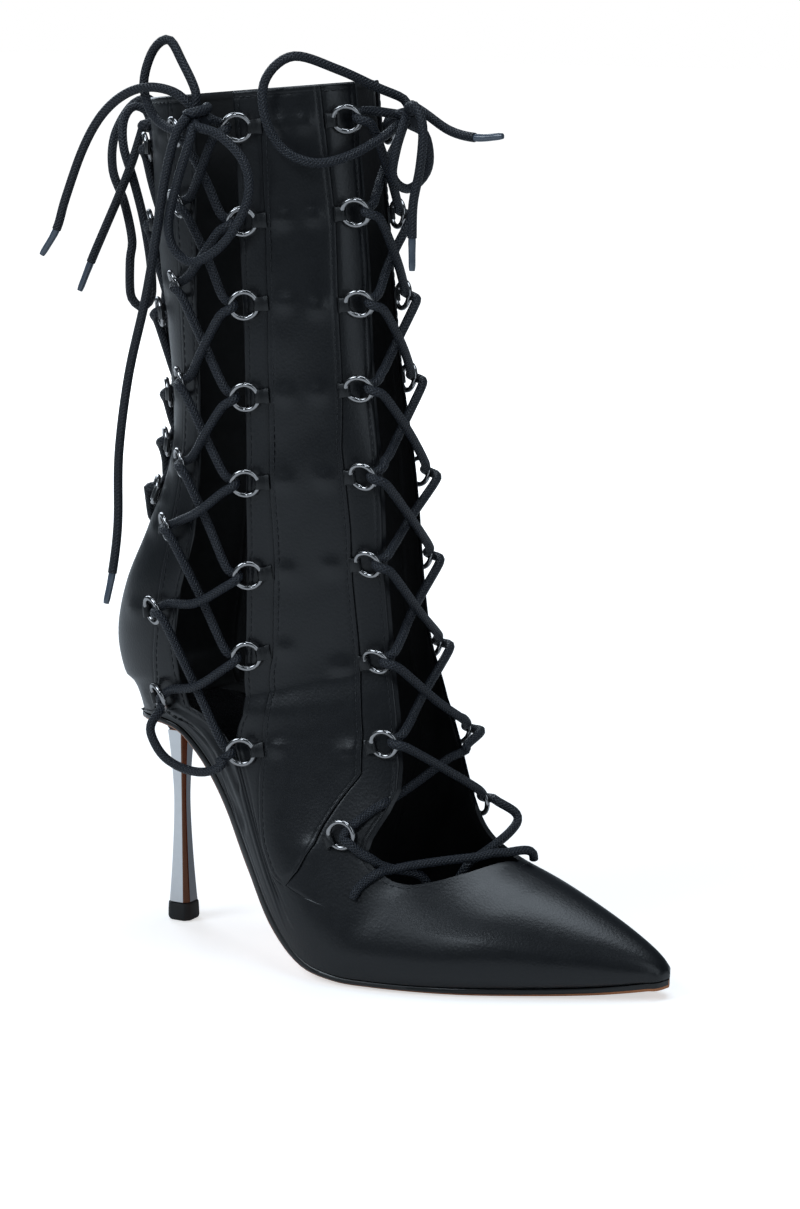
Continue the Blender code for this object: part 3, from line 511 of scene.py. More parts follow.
def make_braid():
    """Diagonal braid of a round lace, from a UV map with the length along U and the way round along V."""
    group, given, out = new_group(
        "braid", (("UV", "NodeSocketVector", None),),
        (("Height", "NodeSocketFloat"), ("Glint", "NodeSocketFloat")))
    parts = node(group, "ShaderNodeSeparateXYZ")
    group.links.new(given.outputs["UV"], parts.inputs[0])
    length = math_node(group, "MULTIPLY", parts.outputs["X"], math.tau * 8.0)
    turn = math_node(group, "MULTIPLY", parts.outputs["Y"], math.tau * 7.0)
    one = math_node(group, "SINE", math_node(group, "ADD", length, turn))
    other = math_node(group, "SINE", math_node(group, "SUBTRACT", length, turn))
    woven = math_node(group, "MAXIMUM", one, other)
    group.links.new(woven, out.inputs["Height"])
    # Glint: the braid's raised threads, used to paint a highlight into the lace's colour
    group.links.new(math_node(group, "MULTIPLY", math_node(group, "ADD", woven, 1.0), 0.5), out.inputs["Glint"])
    return group


def blank(name):
    """New material and its tree, shader and object coordinates."""
    made = bpy.data.materials.new(name)
    made.use_nodes = True
    tree = made.node_tree
    return made, tree, tree.nodes["Principled BSDF"], node(tree, "ShaderNodeTexCoord").outputs["Object"]


def add_bump(tree, shader, height, distance):
    """Fine relief from a height that changes over the surface."""
    bump = node(tree, "ShaderNodeBump", sockets={"Strength": 1.0, "Distance": distance})
    tree.links.new(height, bump.inputs["Height"])
    tree.links.new(bump.outputs["Normal"], shader.inputs["Normal"])


def between(tree, factor, low, high):
    """Value from low to high by a factor from 0 to 1."""
    made = node(tree, "ShaderNodeMapRange", sockets={"To Min": low, "To Max": high})
    tree.links.new(factor, made.inputs["Value"])
    return made.outputs["Result"]


def mixed(tree, factor, low, high):
    """Colour from low to high by a factor from 0 to 1."""
    made = node(tree, "ShaderNodeMix", data_type="RGBA")
    tree.links.new(factor, made.inputs["Factor"])
    made.inputs[6].default_value = (*low, 1)
    made.inputs[7].default_value = (*high, 1)
    return made.outputs[2]


def clouded(tree, shader, factor, colours, gloss):
    """Gives a shader a colour and a roughness that each go from a first value to a second by a factor."""
    tree.links.new(mixed(tree, factor, *colours), shader.inputs["Base Color"])
    tree.links.new(between(tree, factor, *gloss), shader.inputs["Roughness"])


def leather(name, colour, roughness, spread, size, bump, coat, grain):
    """Leather with its grain, a clouded colour and gloss, and a thin coat."""
    made, tree, shader, place = blank(name)
    effect = node(tree, "ShaderNodeGroup", node_tree=grain, sockets={"Size": size})
    tree.links.new(place, effect.inputs["Vector"])
    lighter = tuple(c * 1.7 for c in colour)
    clouded(tree, shader, effect.outputs["Dull"], (colour, lighter), (roughness - spread, roughness + spread))
    add_bump(tree, shader, effect.outputs["Height"], bump)
    shader.inputs["Coat Weight"].default_value = coat
    shader.inputs["Coat Roughness"].default_value = 0.22
    return made


def metal(name, colour, roughness, spread, scratches):
    """Metal with a slight cloud in its colour and gloss."""
    made, tree, shader, place = blank(name)
    darker = tuple(c * 0.86 for c in colour)
    clouded(tree, shader, noise(tree, place, scratches, 4.0, 0.65), (darker, colour),
            (max(0.02, roughness - spread), roughness + spread))
    shader.inputs["Metallic"].default_value = 1.0
    return made


def lace_finish(braid):
    """Waxed black lace with a fine braid."""
    made, tree, shader, _ = blank("waxed lace")
    uv = node(tree, "ShaderNodeUVMap", uv_map="braid")
    effect = node(tree, "ShaderNodeGroup", node_tree=braid)
    tree.links.new(uv.outputs["UV"], effect.inputs["UV"])
    # Raised threads of the braid are painted lighter and glossier: a painted glint
    clouded(tree, shader, effect.outputs["Glint"], ((0.001, 0.0014, 0.0022), (0.012, 0.016, 0.025)), (0.62, 0.4))
    add_bump(tree, shader, effect.outputs["Height"], 0.2 * MM)
    return made


def plain_finish(name, colour, roughness, spots, bump=0.0, coat=0.0):
    """Even finish with a slight cloud in its colour and gloss, and a coat where it has one."""
    made, tree, shader, place = blank(name)
    cloud = noise(tree, place, spots, 4.0, 0.6)
    colours = [tuple(c * part for c in colour) for part in (0.75, 1.2)]
    clouded(tree, shader, cloud, colours, (roughness - 0.08, roughness + 0.08))
    if bump:
        add_bump(tree, shader, cloud, bump)
    if coat:
        shader.inputs["Coat Weight"].default_value = coat
        shader.inputs["Coat Roughness"].default_value = 0.1
    return made


def make_finishes():
    """All finishes by the names that the pieces use."""
    grain = make_leather_grain()
    braid = make_braid()
    return {
        "upper": leather("black coated leather", (0.0012, 0.0017, 0.0028), 0.37, 0.06, 900.0, 0.05 * MM, 0.15, grain),
        "tab": leather("tab leather", (0.0016, 0.0019, 0.0026), 0.42, 0.06, 1100.0, 0.05 * MM, 0.1, grain),
        "lining": leather("black lining", (0.0014, 0.0015, 0.0018), 0.66, 0.05, 700.0, 0.06 * MM, 0.0, grain),
        "insole": leather("glossy insole", (0.0025, 0.0025, 0.003), 0.27, 0.05, 420.0, 0.035 * MM, 0.4, grain),
        "thread": plain_finish("black thread", (0.006, 0.007, 0.009), 0.45, 2500.0, 0.02 * MM),
        "lace": lace_finish(braid),
        "aglet": plain_finish("aglet film", (0.08, 0.1, 0.13), 0.2, 700.0, 0.0, 0.5),
        "ring": metal("dark nickel", (0.42, 0.41, 0.41), 0.14, 0.05, 600.0),
        "chrome": metal("bright chrome", (0.86, 0.86, 0.87), 0.06, 0.03, 300.0),
        # Painted warm reflection and painted dark reflection, laid on facets of the one chrome heel
        "painted_warm_reflection": metal("painted warm reflection facet", (0.17, 0.075, 0.045), 0.2, 0.05, 300.0),
        "painted_dark_reflection": metal("painted dark reflection facet", (0.2, 0.2, 0.21), 0.12, 0.04, 300.0),
        "edge": plain_finish("sole edge paint", (0.008, 0.008, 0.008), 0.35, 300.0, 0.03 * MM, 0.2),
        "tan": plain_finish("tan sole", (0.52, 0.19, 0.07), 0.5, 120.0, 0.03 * MM),
        "rubber": plain_finish("black rubber", (0.012, 0.012, 0.012), 0.6, 900.0, 0.04 * MM),
    }


# Pieces

def finished(obj, finishes, slot, *nodes):
    """Gives a piece its finishes, its place on the part and the nodes it stands for."""
    for made in finishes:
        obj.data.materials.append(made)
    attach(obj, "root")
    if nodes:
        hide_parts(*nodes)


def object_of(name, mesh, angle):
    """Smooth object of a mesh, sharp where its faces meet at more than the angle in degrees."""
    obj = bpy.data.objects.new(name, mesh)
    bpy.context.scene.collection.objects.link(obj)
    mesh.shade_smooth()
    if angle:
        mesh.set_sharp_from_angle(angle=math.radians(angle))
    return obj


def object_of_form(name, form, angle):
    """Smooth object of a form, which is freed."""
    mesh = bpy.data.meshes.new(name)
    form.to_mesh(mesh)
    form.free()
    return object_of(name, mesh, angle)


def ring_skin(name, rings, angle, capped=True):
    """Object whose skin runs over rings of points, with a face or a point at both ends."""
    form = bmesh.new()
    grid = [[form.verts.new(p) for p in ring] for ring in rings]
    for low, high in zip(grid, grid[1:]):
        for j in range(len(low)):
            k = (j + 1) % len(low)
            form.faces.new((low[j], low[k], high[k], high[j]))
    if capped:
        form.faces.new(list(reversed(grid[0])))
        form.faces.new(grid[-1])
    bmesh.ops.remove_doubles(form, verts=form.verts, dist=0.005 * MM)
    bmesh.ops.recalc_face_normals(form, faces=form.faces)
    if form.calc_volume(signed=True) < 0:
        bmesh.ops.reverse_faces(form, faces=form.faces)
    return object_of_form(name, form, angle)


def smooth_route(places, spacing):
    """Points at an even spacing on a smooth curve through the chosen ones."""
    padded = [2 * places[0] - places[1]] + places + [2 * places[-1] - places[-2]]
    fine = []
    for a, b, c, d in zip(padded, padded[1:], padded[2:], padded[3:]):
        for k in range(8):
            t = k / 8
            fine.append(0.5 * (2 * b + (c - a) * t + (2 * a - 5 * b + 4 * c - d) * t * t
                               + (3 * b - a - 3 * c + d) * t**3))
    fine.append(places[-1])
    count = max(2, round(line_length(fine) / spacing))
    return [along(fine, line_length(fine) * i / count) for i in range(count)] + [fine[-1]]


# Way round a lace, as its braid measures it
LACE_ROUND = 11 * MM


def tube(name, points, radii, sides=12):
    """Round tube along the points, with a UV map for its braid."""
    if isinstance(radii, float):
        radii = [radii] * len(points)
    form = bmesh.new()
    layer = form.loops.layers.uv.new("braid")
    across = None
    rings = []
    run = distances(points)
    for i, point in enumerate(points):
        ahead = heading(points, i)
        if across is None:
            across = ahead.cross(Vector((0.3, 0.2, 0.93))).normalized()
        across = (across - ahead * across.dot(ahead)).normalized()
        other = ahead.cross(across)
        ring = []
        for j in range(sides):
            angle = math.tau * j / sides
            ring.append(form.verts.new(point + (across * math.cos(angle) + other * math.sin(angle)) * radii[i]))
        rings.append(ring)
    for i in range(len(rings) - 1):
        for j in range(sides):
            k = (j + 1) % sides
            face = form.faces.new((rings[i][j], rings[i][k], rings[i + 1][k], rings[i + 1][j]))
            face.smooth = True
            corners = ((i, j), (i, j + 1), (i + 1, j + 1), (i + 1, j))
            for loop, (m, n) in zip(face.loops, corners):
                loop[layer].uv = (run[m] / LACE_ROUND, n / sides)
    form.faces.new(list(reversed(rings[0])))
    form.faces.new(rings[-1])
    return object_of_form(name, form, 50)


# Free lace, in millimetres from each knot: its loops, and its ends with their aglets
BOWS = {
    "front": {
        "end_right": ((0, 2, 3), (7.3, -1, 0.2), (18.3, -2, -5.8), (30.3, -4, -7.8), (41.3, -5, -6.8)),
        "loop_left": ((0, 0.5, 1.5), (-2.7, 0.5, 5.2), (-8.7, -7, 9.2), (-17.7, -21, 16.2), (-28.7, -34, 21.2),
                      (-36.7, -40, 13.2), (-36.7, -41, 0.2), (-31.7, -37, -11.8), (-21.7, -32, -16.8),
                      (-12.7, -23, -14.8), (-5.7, -11, -8.8), (-1.7, -4, -3.8), (0, -1.5, -1)),
        "loop_right": ((0.3, -1, -3.8), (3.3, 6, -7.8), (4.3, 8, -16.8), (1.3, 9, -23.8), (-1.7, 2, -27.8),
                       (-2.7, -7, -22.8), (0.3, -10, -12.8), (2.3, -8, -3.8), (1.5, -4, 0.5)),
        "end_down": ((1.5, -3.5, 1.2), (4.3, -7, 3), (7.8, -9.4, 3.2), (10.6, -10.2, -0.3), (11.4, -10, -7.5),
                     (9.5, -9, -19.8), (6.3, -8, -31.8), (5.3, -7, -43.8), (5.3, -7, -56.8)),
    },
    "side": {
        "end_back": ((-1.8, -3, 0.5), (-8.8, -5, 7), (-19.8, -6, 9), (-30.8, -6, 6), (-41.8, -5, -2),
                     (-51.8, -3, -15), (-60.8, -2, -34), (-64.8, -2, -45), (-71.8, -2, -55)),
        "loop_up": ((-1.8, -3, 1.5), (-1.8, -3, 8), (-7.8, -2, 18), (-14.8, 0, 26), (-21.8, 0, 22),
                    (-24.8, -2, 10), (-19.8, -4, -1), (-8.8, -8, -6), (-1.5, -8.5, -4.5), (0, -7, -1)),
        "loop_down": ((0.5, -7, -2), (3.2, -10, -4.5), (12.2, -10, -7), (21.2, -8, -16), (23.2, -7, -27),
                      (18.2, -7, -39), (9.2, -7, -49), (-1.8, -7, -54), (-9.8, -7, -49), (-10.8, -8, -39),
                      (-4.8, -11, -24), (1.2, -13, -11), (1.5, -10, -4)),
        "end_down": ((-0.5, -11, -1), (-3.8, -13.5, -7.5), (-9.8, -12, -24), (-16.8, -8, -47), (-23.8, -5, -70),
                     (-32.8, -3, -98), (-37.8, -3, -128), (-38.8, -3, -155), (-40.8, -4, -173), (-42.8, -6, -186)),
    },
    "back": {
        "end_back": ((-1.5, -3, 1), (-5.5, -5.8, -14), (-10.5, -7.8, -27), (-15.5, -9.8, -39), (-20.5, -11.8, -51),
                     (-25.5, -13.8, -64)),
        "loop_down": ((-3.5, 4.2, 1), (-5.6, 4.2, 5), (-9.5, 1.4, 6.4), (-11.6, -2.2, 1), (-10, -4.8, -9),
                      (-6.5, -3.8, -21), (-3.5, -1.8, -36), (-1.2, -0.8, -52), (-0.6, -0.8, -64),
                      (-1.7, -1.2, -68.2), (-4.5, -2.2, -70.4), (-7.4, -3.4, -68.2), (-8.5, -4.2, -64),
                      (-7.9, -4.8, -52), (-7.5, -3.8, -44), (-11.5, -2.8, -30), (-16.5, -2.8, -18),
                      (-17.5, 0.2, -5), (-14.5, 7.2, 6), (-8.5, 10.2, 9), (-2.5, 10.2, 5)),
    },
}
BOW_STEP = 2.2 * MM
AGLET_LENGTH = 12 * MM
AGLET_OVER_LACE = 1.0 * MM
# Radii of an aglet from the lace to its tip, in millimetres
AGLET_RADII = (1.3, 1.42, 1.42, 1.35, 1.32, 1.3, 1.3, 1.28, 1.05)
# Each knot as a wound thick tube: half width across the boot, and its middle's shift in Y and Z, in millimetres
KNOT_FORMS = {"front": (3.2, -1.5, -0.5), "side": (5.2, -4.68, -0.5), "back": (3.2, -1.5, -0.5)}
KNOT_WIDTH = 2.9
KNOT_RISE = 0.36
KNOT_TURNS = 1.25
KNOT_POINTS = 15
KNOT_RADIUS = 1.9 * MM


def make_aglet(name, route, start, finishes):
    """Film round the last stretch of a lace."""
    last = len(AGLET_RADII) - 1
    step = (AGLET_LENGTH + AGLET_OVER_LACE) / last
    places = [along(route, start - AGLET_OVER_LACE + step * k) for k in range(last + 1)]
    cap = tube(name, places, [radius * MM for radius in AGLET_RADII], 14)
    finished(cap, [finishes["aglet"]], "lace_cord")
    return cap


def make_bows(finishes):
    """Loops and free ends of each lace, each a cord from its knot, and the knot itself."""
    for lacing, cords in BOWS.items():
        knot = knot_place(lacing)
        for number, (label, offsets) in enumerate(cords.items()):
            route = whole = smooth_route([knot + offset for offset in in_metres(offsets)], BOW_STEP)
            has_tip = label.startswith("end")
            if has_tip:
                keep = line_length(whole) - AGLET_LENGTH
                count = max(2, round(keep / BOW_STEP))
                route = [along(whole, keep * i / count) for i in range(count + 1)]
            lace = tube(f"bow_{lacing}_{label}", route, LACE_DIAMETER / 2)
            finished(lace, [finishes["lace"]], "lace_cord", *([] if number else [f"bow_{lacing}"]))
            pieces = (make_aglet(f"aglet_{lacing}_{label}", whole, keep, finishes),) if has_tip else ()
            tuple(route[0])
            line_length(route)
        deep, shift, drop = KNOT_FORMS[lacing]
        wrap = []
        for k in range(KNOT_POINTS):
            angle = math.tau * KNOT_TURNS * k / KNOT_POINTS
            turn = Vector((math.cos(angle) * KNOT_WIDTH, math.sin(angle) * deep, (k - KNOT_POINTS // 2) * KNOT_RISE))
            wrap.append(knot + (Vector((0, shift, drop)) + turn) * MM)
        finished(tube(f"knot_{lacing}", wrap, KNOT_RADIUS), [finishes["lace"]], "lace_cord")


# The upper's sheet. Distances from a line in millimetres, with the height of the leather there
CUT_EDGE = ((0.0, -0.5), (0.12, -0.22), (0.4, -0.05), (0.9, 0.0), (1.7, 0.0), (2.15, -0.16), (2.6, 0.0), (3.6, 0.0))
RAISED_EDGE = ((0.0, -0.3), (0.08, 0.3), (0.25, 0.54), (0.6, 0.6), (1.5, 0.6), (1.95, 0.46), (2.4, 0.6), (3.5, 0.6))
STRIP_EDGE = ((0.0, -0.25), (0.08, 0.18), (0.3, 0.33), (0.7, 0.36), (1.5, 0.36), (1.95, 0.22), (2.4, 0.36))
FOOT_OF_EDGE = ((0.0, -0.3), (0.45, -0.05), (1.8, 0.0))
PLAIN_SEAM = ((0.0, -0.42), (0.35, -0.18), (0.9, 0.0), (1.7, 0.0), (2.1, -0.14), (2.5, 0.0))
SEAM_FOOT = ((0.0, -0.42), (0.35, -0.18), (0.9, 0.0))
# Parts of the sheet between its lines: profile at the first line, profile at the last, columns between, base heights
SHEET_PARTS = (
    (PLAIN_SEAM, FOOT_OF_EDGE, 9, 0.0, 0.0),
    (STRIP_EDGE, CUT_EDGE, 5, 0.36, 0.36),
    ((), (), 2, 0.0, 0.0),
    (CUT_EDGE, FOOT_OF_EDGE, 4, 0.0, 0.0),
    (RAISED_EDGE, RAISED_EDGE, 14, 0.6, 0.6),
    (FOOT_OF_EDGE, CUT_EDGE, 5, 0.0, 0.0),
    ((), (), 2, 0.0, 0.0),
    ((), (), 4, 0.0, 0.0),
    (CUT_EDGE, SEAM_FOOT, 5, 0.0, 0.0),
    (PLAIN_SEAM, SEAM_FOOT, 18, 0.0, 0.0),
    (PLAIN_SEAM, PLAIN_SEAM, 8, 0.0, 0.0),
)
SIDE_GAP_PART = 2
PANEL_PART = 4
FRONT_GAP_PARTS = (6, 7)
# Parts whose edges flatten out towards the toe, all along or only in front of a row
FLAT_AHEAD = (0, 1, 8, 9, 10)
FLAT_BESIDE_PANEL = (3, 5)
FLAT_BESIDE_PANEL_ROW = 12.0
FLAT_ROW = 12.6
FLAT_ROWS = 0.8
PANEL_FADE_ROWS = 0.08
PANEL_FULL_WIDTH = 8 * MM
# Rows close to the collar and to the two gaps' ends, then an even spacing
ROW_STEP = 2.1 * MM
COLLAR_ROW_LENGTH = 52.8
COLLAR_SEAM_ROW = 0.043
COLLAR_EDGE = ((0.0, -0.5), (0.12, -0.22), (0.4, -0.05), (0.9, 0.0), (1.8, 0.0), (2.25, -0.15), (2.7, 0.0), (3.8, 0.0))

# Soft folds of the leather: depth and half width in millimetres, then section row and way round in millimetres
FOLDS = (
    (-0.25, 5.0, ((12.9, -52), (13.2, -62), (13.4, -74))),
    (-0.2, 5.0, ((14.5, -30), (14.8, -14), (14.9, 4))),
    (-0.9, 1.7, ((7.9, -119), (8.6, -111), (9.4, -104), (10.1, -98), (10.7, -95))),
    (-0.8, 1.5, ((8.0, -123), (8.9, -115), (9.7, -108), (10.5, -101), (11.2, -98))),
    (-0.7, 1.6, ((8.1, -128), (9.1, -120), (10.1, -109), (11.0, -101))),
    (0.6, 2.4, ((8.0, -121), (8.8, -113), (9.6, -106), (10.3, -99.5))),
    (-0.2, 5.0, ((3.4, -40), (3.9, -50), (4.5, -58))),
    (-0.2, 5.0, ((5.2, -40), (5.5, -50), (5.4, -60))),
    (-0.2, 6.0, ((7.2, -46), (7.6, -56), (8.2, -66))),
    (-0.5, 3.6, ((3.2, 60), (3.8, 74), (4.2, 90))),
    (-0.55, 4.2, ((5.6, 40), (6.0, 62), (6.2, 84))),
    (-0.5, 4.0, ((8.6, 50), (9.2, 70), (9.6, 92))),
    (-0.6, 4.0, ((11.6, 30), (12.2, 46), (12.6, 62))),
    (-0.45, 5.0, ((2.6, -116), (3.4, -112), (4.2, -120))),
    (0.5, 9.0, ((1.5, -34), (1.7, -42))),
    (-0.4, 9.0, ((0.9, -32), (1.0, -42))),
    (-0.5, 8.0, ((2.6, -38), (2.8, -50))),
)


# Small bulge beside each tab: depth and half width, and its ends' distances from the ring, all in millimetres
TAB_BULGE = (0.9, 3.0)
TAB_BULGE_PLACES = (14, 15)


def part_columns(first, last, part):
    """Ways round and heights of one part of the sheet, without its last column."""
    opening, closing, middle, base, far_base = part
    width = last - first
    reach = opening[-1][0] * MM if opening else 0.0
    far_reach = closing[-1][0] * MM if closing else 0.0
    fit = min(1.0, 0.8 * width / max(reach + far_reach, 0.01 * MM)) if reach + far_reach else 1.0
    columns = [(first + offset * MM * fit, height) for offset, height in opening]
    inner = first + reach * fit
    outer = last - far_reach * fit
    if not opening:
        columns.append((first, base))
    count = middle + 1
    for k in range(1, count):
        t = k / count
        columns.append((inner + (outer - inner) * t, base + (far_base - base) * t))
    if closing:
        shift = far_base - closing[-1][1]
        columns += [(last - offset * MM * fit, height + shift) for offset, height in reversed(closing[1:])]
    return columns


def sheet_lines(row):
    """Ways round of the lines between the parts of the sheet."""
    outer = girth(row, -1)
    inner = girth(row, 1)
    gap_back = line_place(SIDE_GAP_BACK, row, -1, 0.975)
    gap_front = line_place(SIDE_GAP_FRONT, row, -1, 0.95)
    strip = straight_value(BACK_STRIP, row) * BALL_WIDTH
    strip = gap_back + (outer - gap_back) * min(0.85, max(0.12, (strip - gap_back) / (outer - gap_back)))
    panel_side = line_place(PANEL_SIDE_EDGE, row, -1, 0.93)
    panel_front = line_place(PANEL_FRONT_EDGE, row, -1, 0.90)
    throat_outer = line_place(FRONT_GAP_OUTER, row, -1, 0.65)
    throat_inner = line_place(FRONT_GAP_INNER, row, 1, 0.65)
    inner_front = min(line_place(INNER_FRONT, row, 1, 0.90), 0.90 * inner)
    inner_back = straight_value(INNER_BACK, row) * BALL_WIDTH
    inner_back = inner_front + (inner - inner_front) * min(0.9, max(0.3, (inner_back - inner_front)
                                                                / (inner - inner_front)))
    return [-outer, -strip, -gap_back, -gap_front, -panel_side, -panel_front, -throat_outer, 0.0, throat_inner,
            inner_front, inner_back, inner]


def from_zero_to_one(value):
    """The value, held between 0 and 1."""
    return min(1.0, max(0.0, value))


def sheet_columns(row):
    """Ways round and heights of all the columns of the sheet at a section row."""
    lines = sheet_lines(row)
    panel_height = 0.0
    if row < PANEL_END:
        thin = max(min(1.0, (lines[PANEL_PART + 1] - lines[PANEL_PART]) / PANEL_FULL_WIDTH), 0.75)
        panel_height = from_zero_to_one((PANEL_END - row) / PANEL_FADE_ROWS) * thin
    drop = from_zero_to_one((FLAT_ROW - row) / FLAT_ROWS)
    columns = []
    for number, part in enumerate(SHEET_PARTS):
        here = part_columns(lines[number], lines[number + 1], part)
        if number == PANEL_PART:
            here = [(way, height * panel_height) for way, height in here]
        if number in FLAT_AHEAD or (number in FLAT_BESIDE_PANEL and row > FLAT_BESIDE_PANEL_ROW):
            here = [(way, height * drop) for way, height in here]
        columns += here
    columns.append((lines[-1], SHEET_PARTS[-1][1][0][1] * drop))
    return columns


def part_starts():
    """Number of the first column of each part of the sheet."""
    starts = [0]
    for opening, closing, middle, _, _ in SHEET_PARTS:
        starts.append(starts[-1] + max(len(opening), 1) + middle + max(len(closing) - 1, 0))
    return starts


def sheet_rows():
    """Section rows of the sheet, even along the outer side and closer by its edges."""
    places = np.linspace(0.0, LAST_ROW, 1200)
    line = [np.array(skin(place, 0.0)) for place in places]
    back = [np.array(skin(place, -0.55 * girth(place, -1))) for place in places]
    steps = [max(np.linalg.norm(line[i + 1] - line[i]), np.linalg.norm(back[i + 1] - back[i]))
             for i in range(len(places) - 1)]
    run = np.concatenate(([0.0], np.cumsum(steps)))
    count = int(run[-1] / ROW_STEP)
    rows = list(np.interp(np.linspace(0, run[-1], count), run, places))
    fixed = [np.interp(offset * MM, run, places) for offset, _ in COLLAR_EDGE]
    fixed += [SIDE_GAP_END, FRONT_GAP_END, PANEL_END, float(HEEL_ROW), 11.35, 11.5, 11.7, 11.95, 12.15, 12.3]
    rows = [row for row in rows if all(abs(row - other) > 0.035 for other in fixed)]
    return sorted(rows + fixed)


def collar_height(row):
    """Height of the leather by its distance below the collar."""
    return float(np.interp(row * COLLAR_ROW_LENGTH, *zip(*COLLAR_EDGE)))


def make_upper(finishes):
    """The upper: a sheet shaped over the last, with its panels, seams and folds, then given its wall."""
    rows = sheet_rows()
    table = [sheet_columns(row) for row in rows]
    count = len(table[0])
    places = np.zeros((len(rows), count, 3))
    heights = np.zeros((len(rows), count))
    for i, row in enumerate(rows):
        ways = np.array([way for way, _ in table[i]])
        for side in (-1, 1):
            chosen = ways < 0 if side < 0 else ways >= 0
            points, run = measured(row, side)
            for k in range(3):
                places[i, chosen, k] = np.interp(np.abs(ways[chosen]), run, points[:, k])
        heights[i] = np.array([height for _, height in table[i]]) + collar_height(row)
    across = np.gradient(places, axis=1)
    down = np.gradient(places, axis=0)
    normals = np.cross(down, across)
    for i, row in enumerate(rows):
        if row < HEEL_ROW:
            both = normals[i, 0] + normals[i, -1]
            normals[i, 0] = normals[i, -1] = both
    normals /= np.maximum(np.linalg.norm(normals, axis=2, keepdims=True), 1e-12)
    middle = places[2].mean(axis=0)
    if (normals[2, 30] * (places[2, 30] - middle)).sum() < 0:
        normals = -normals
    for depth, width, line in FOLDS:
        heights += fold_height(places, depth, width, line)
    for column, number in ALL_RINGS:
        row, way = ring_place(column, number)
        bulge = [(row, (way + TAB_SIDE[column] * offset * MM) / MM) for offset in TAB_BULGE_PLACES]
        heights += fold_height(places, *TAB_BULGE, bulge)
    places += normals * heights[:, :, None] * MM

    bpy.ops.mesh.primitive_grid_add(x_subdivisions=count - 1, y_subdivisions=len(rows) - 1, size=0.1)
    obj = bpy.context.object
    obj.name = "upper_leather"
    mesh = obj.data
    mesh.vertices.foreach_set("co", places.reshape(-1))
    mesh.update()
    starts = part_starts()
    side_gap = range(starts[SIDE_GAP_PART], starts[SIDE_GAP_PART + 1])
    front_gap = range(starts[FRONT_GAP_PARTS[0]], starts[FRONT_GAP_PARTS[1] + 1])
    row_of = np.repeat(np.array(rows), count)
    column_of = np.tile(np.arange(count), len(rows))
    form = bmesh.new()
    form.from_mesh(mesh)
    gone = []
    for face in form.faces:
        ids = [v.index for v in face.verts]
        row = row_of[ids].min()
        column = column_of[ids].min()
        in_side = column in side_gap and row < SIDE_GAP_END - 1e-6
        in_front = column in front_gap and row < FRONT_GAP_END - 1e-6
        if in_side or in_front:
            gone.append(face)
    bmesh.ops.delete(form, geom=gone, context="FACES")
    form.verts.ensure_lookup_table()
    bmesh.ops.delete(form, geom=[v for v in form.verts if not v.link_faces], context="VERTS")
    bmesh.ops.remove_doubles(form, verts=form.verts, dist=0.02 * MM)
    tip = [v for v in form.verts if v.is_boundary and v.co.x > TOE_REACH - 0.35 * MM]
    tip_edges = [e for e in form.edges if e.is_boundary and all(v in tip for v in e.verts)]
    bmesh.ops.holes_fill(form, edges=tip_edges, sides=0)
    bmesh.ops.recalc_face_normals(form, faces=form.faces)
    front = max(form.faces, key=lambda face: face.calc_center_median().x)
    if front.normal.x < 0:
        bmesh.ops.reverse_faces(form, faces=form.faces)
    form.to_mesh(mesh)
    form.free()
    group = obj.vertex_groups.new(name="wall")
    for vertex in mesh.vertices:
        group.add([vertex.index], min(1.0, max(0.12, (TOE_REACH - vertex.co.x) / (8 * WALL))), "REPLACE")
    shell = obj.modifiers.new("wall", "SOLIDIFY")
    shell.thickness = WALL
    shell.offset = -1
    shell.vertex_group = "wall"
    shell.material_offset = 1
    shell.material_offset_rim = 0
    finished(obj, [finishes["upper"], finishes["lining"]], "black_leather", "upper")
    bpy.context.view_layer.objects.active = obj
    obj.select_set(True)
    bpy.ops.object.modifier_apply(modifier="wall")
    obj.data.shade_smooth()
    obj.data.set_sharp_from_angle(angle=math.radians(60))
    obj.select_set(False)
    return obj


def fold_height(places, depth, width, line):
    """Height that a soft fold along a line adds to the sheet."""
    points = [np.array(skin(row, way * MM)) for row, way in line]
    best = np.full(places.shape[:2], 1.0)
    for a, b in zip(points, points[1:]):
        run = b - a
        share = np.clip(((places - a) @ run) / max(run @ run, 1e-12), 0, 1)
        distance = np.linalg.norm(places - (a + share[..., None] * run), axis=2)
        best = np.minimum(best, distance)
    return depth * np.exp(-(best / (width * MM)) ** 2)


# Seams down the boot: line of the sheet, distance from it, last section row and height, in millimetres and rows
SEAMS = (
    (1, 1.95, 9.6, 0.24), (2, -2.15, 10.0, 0.2), (3, 2.15, 10.0, -0.16), (4, 1.95, 11.9, 0.46), (5, -1.95, 11.9, 0.46),
    (6, -2.15, 13.6, -0.16), (8, 2.15, 14.1, -0.16), (9, 2.1, 12.2, -0.14), (10, 2.1, 9.6, -0.14), (0, 2.1, 7.4, -0.14),
    (11, -2.1, 7.4, -0.14),
)
SEAM_START = 0.08
SEAM_ROW_STEP = 0.11
STITCH_PITCH = 2.9 * MM
STITCH_SIDES = 6
# Rings of a stitch: share of its half length, then share of its thickness
STITCH_RINGS = ((-1.0, 0.35), (-0.75, 0.8), (0.0, 1.0), (0.75, 0.8), (1.0, 0.35))
# One stitch of thread along X, about its own middle
STITCH = [(share * 1.05 * MM, math.cos(math.tau * k / STITCH_SIDES) * 0.3 * MM * size,
           math.sin(math.tau * k / STITCH_SIDES) * 0.24 * MM * size)
          for share, size in STITCH_RINGS for k in range(STITCH_SIDES)]


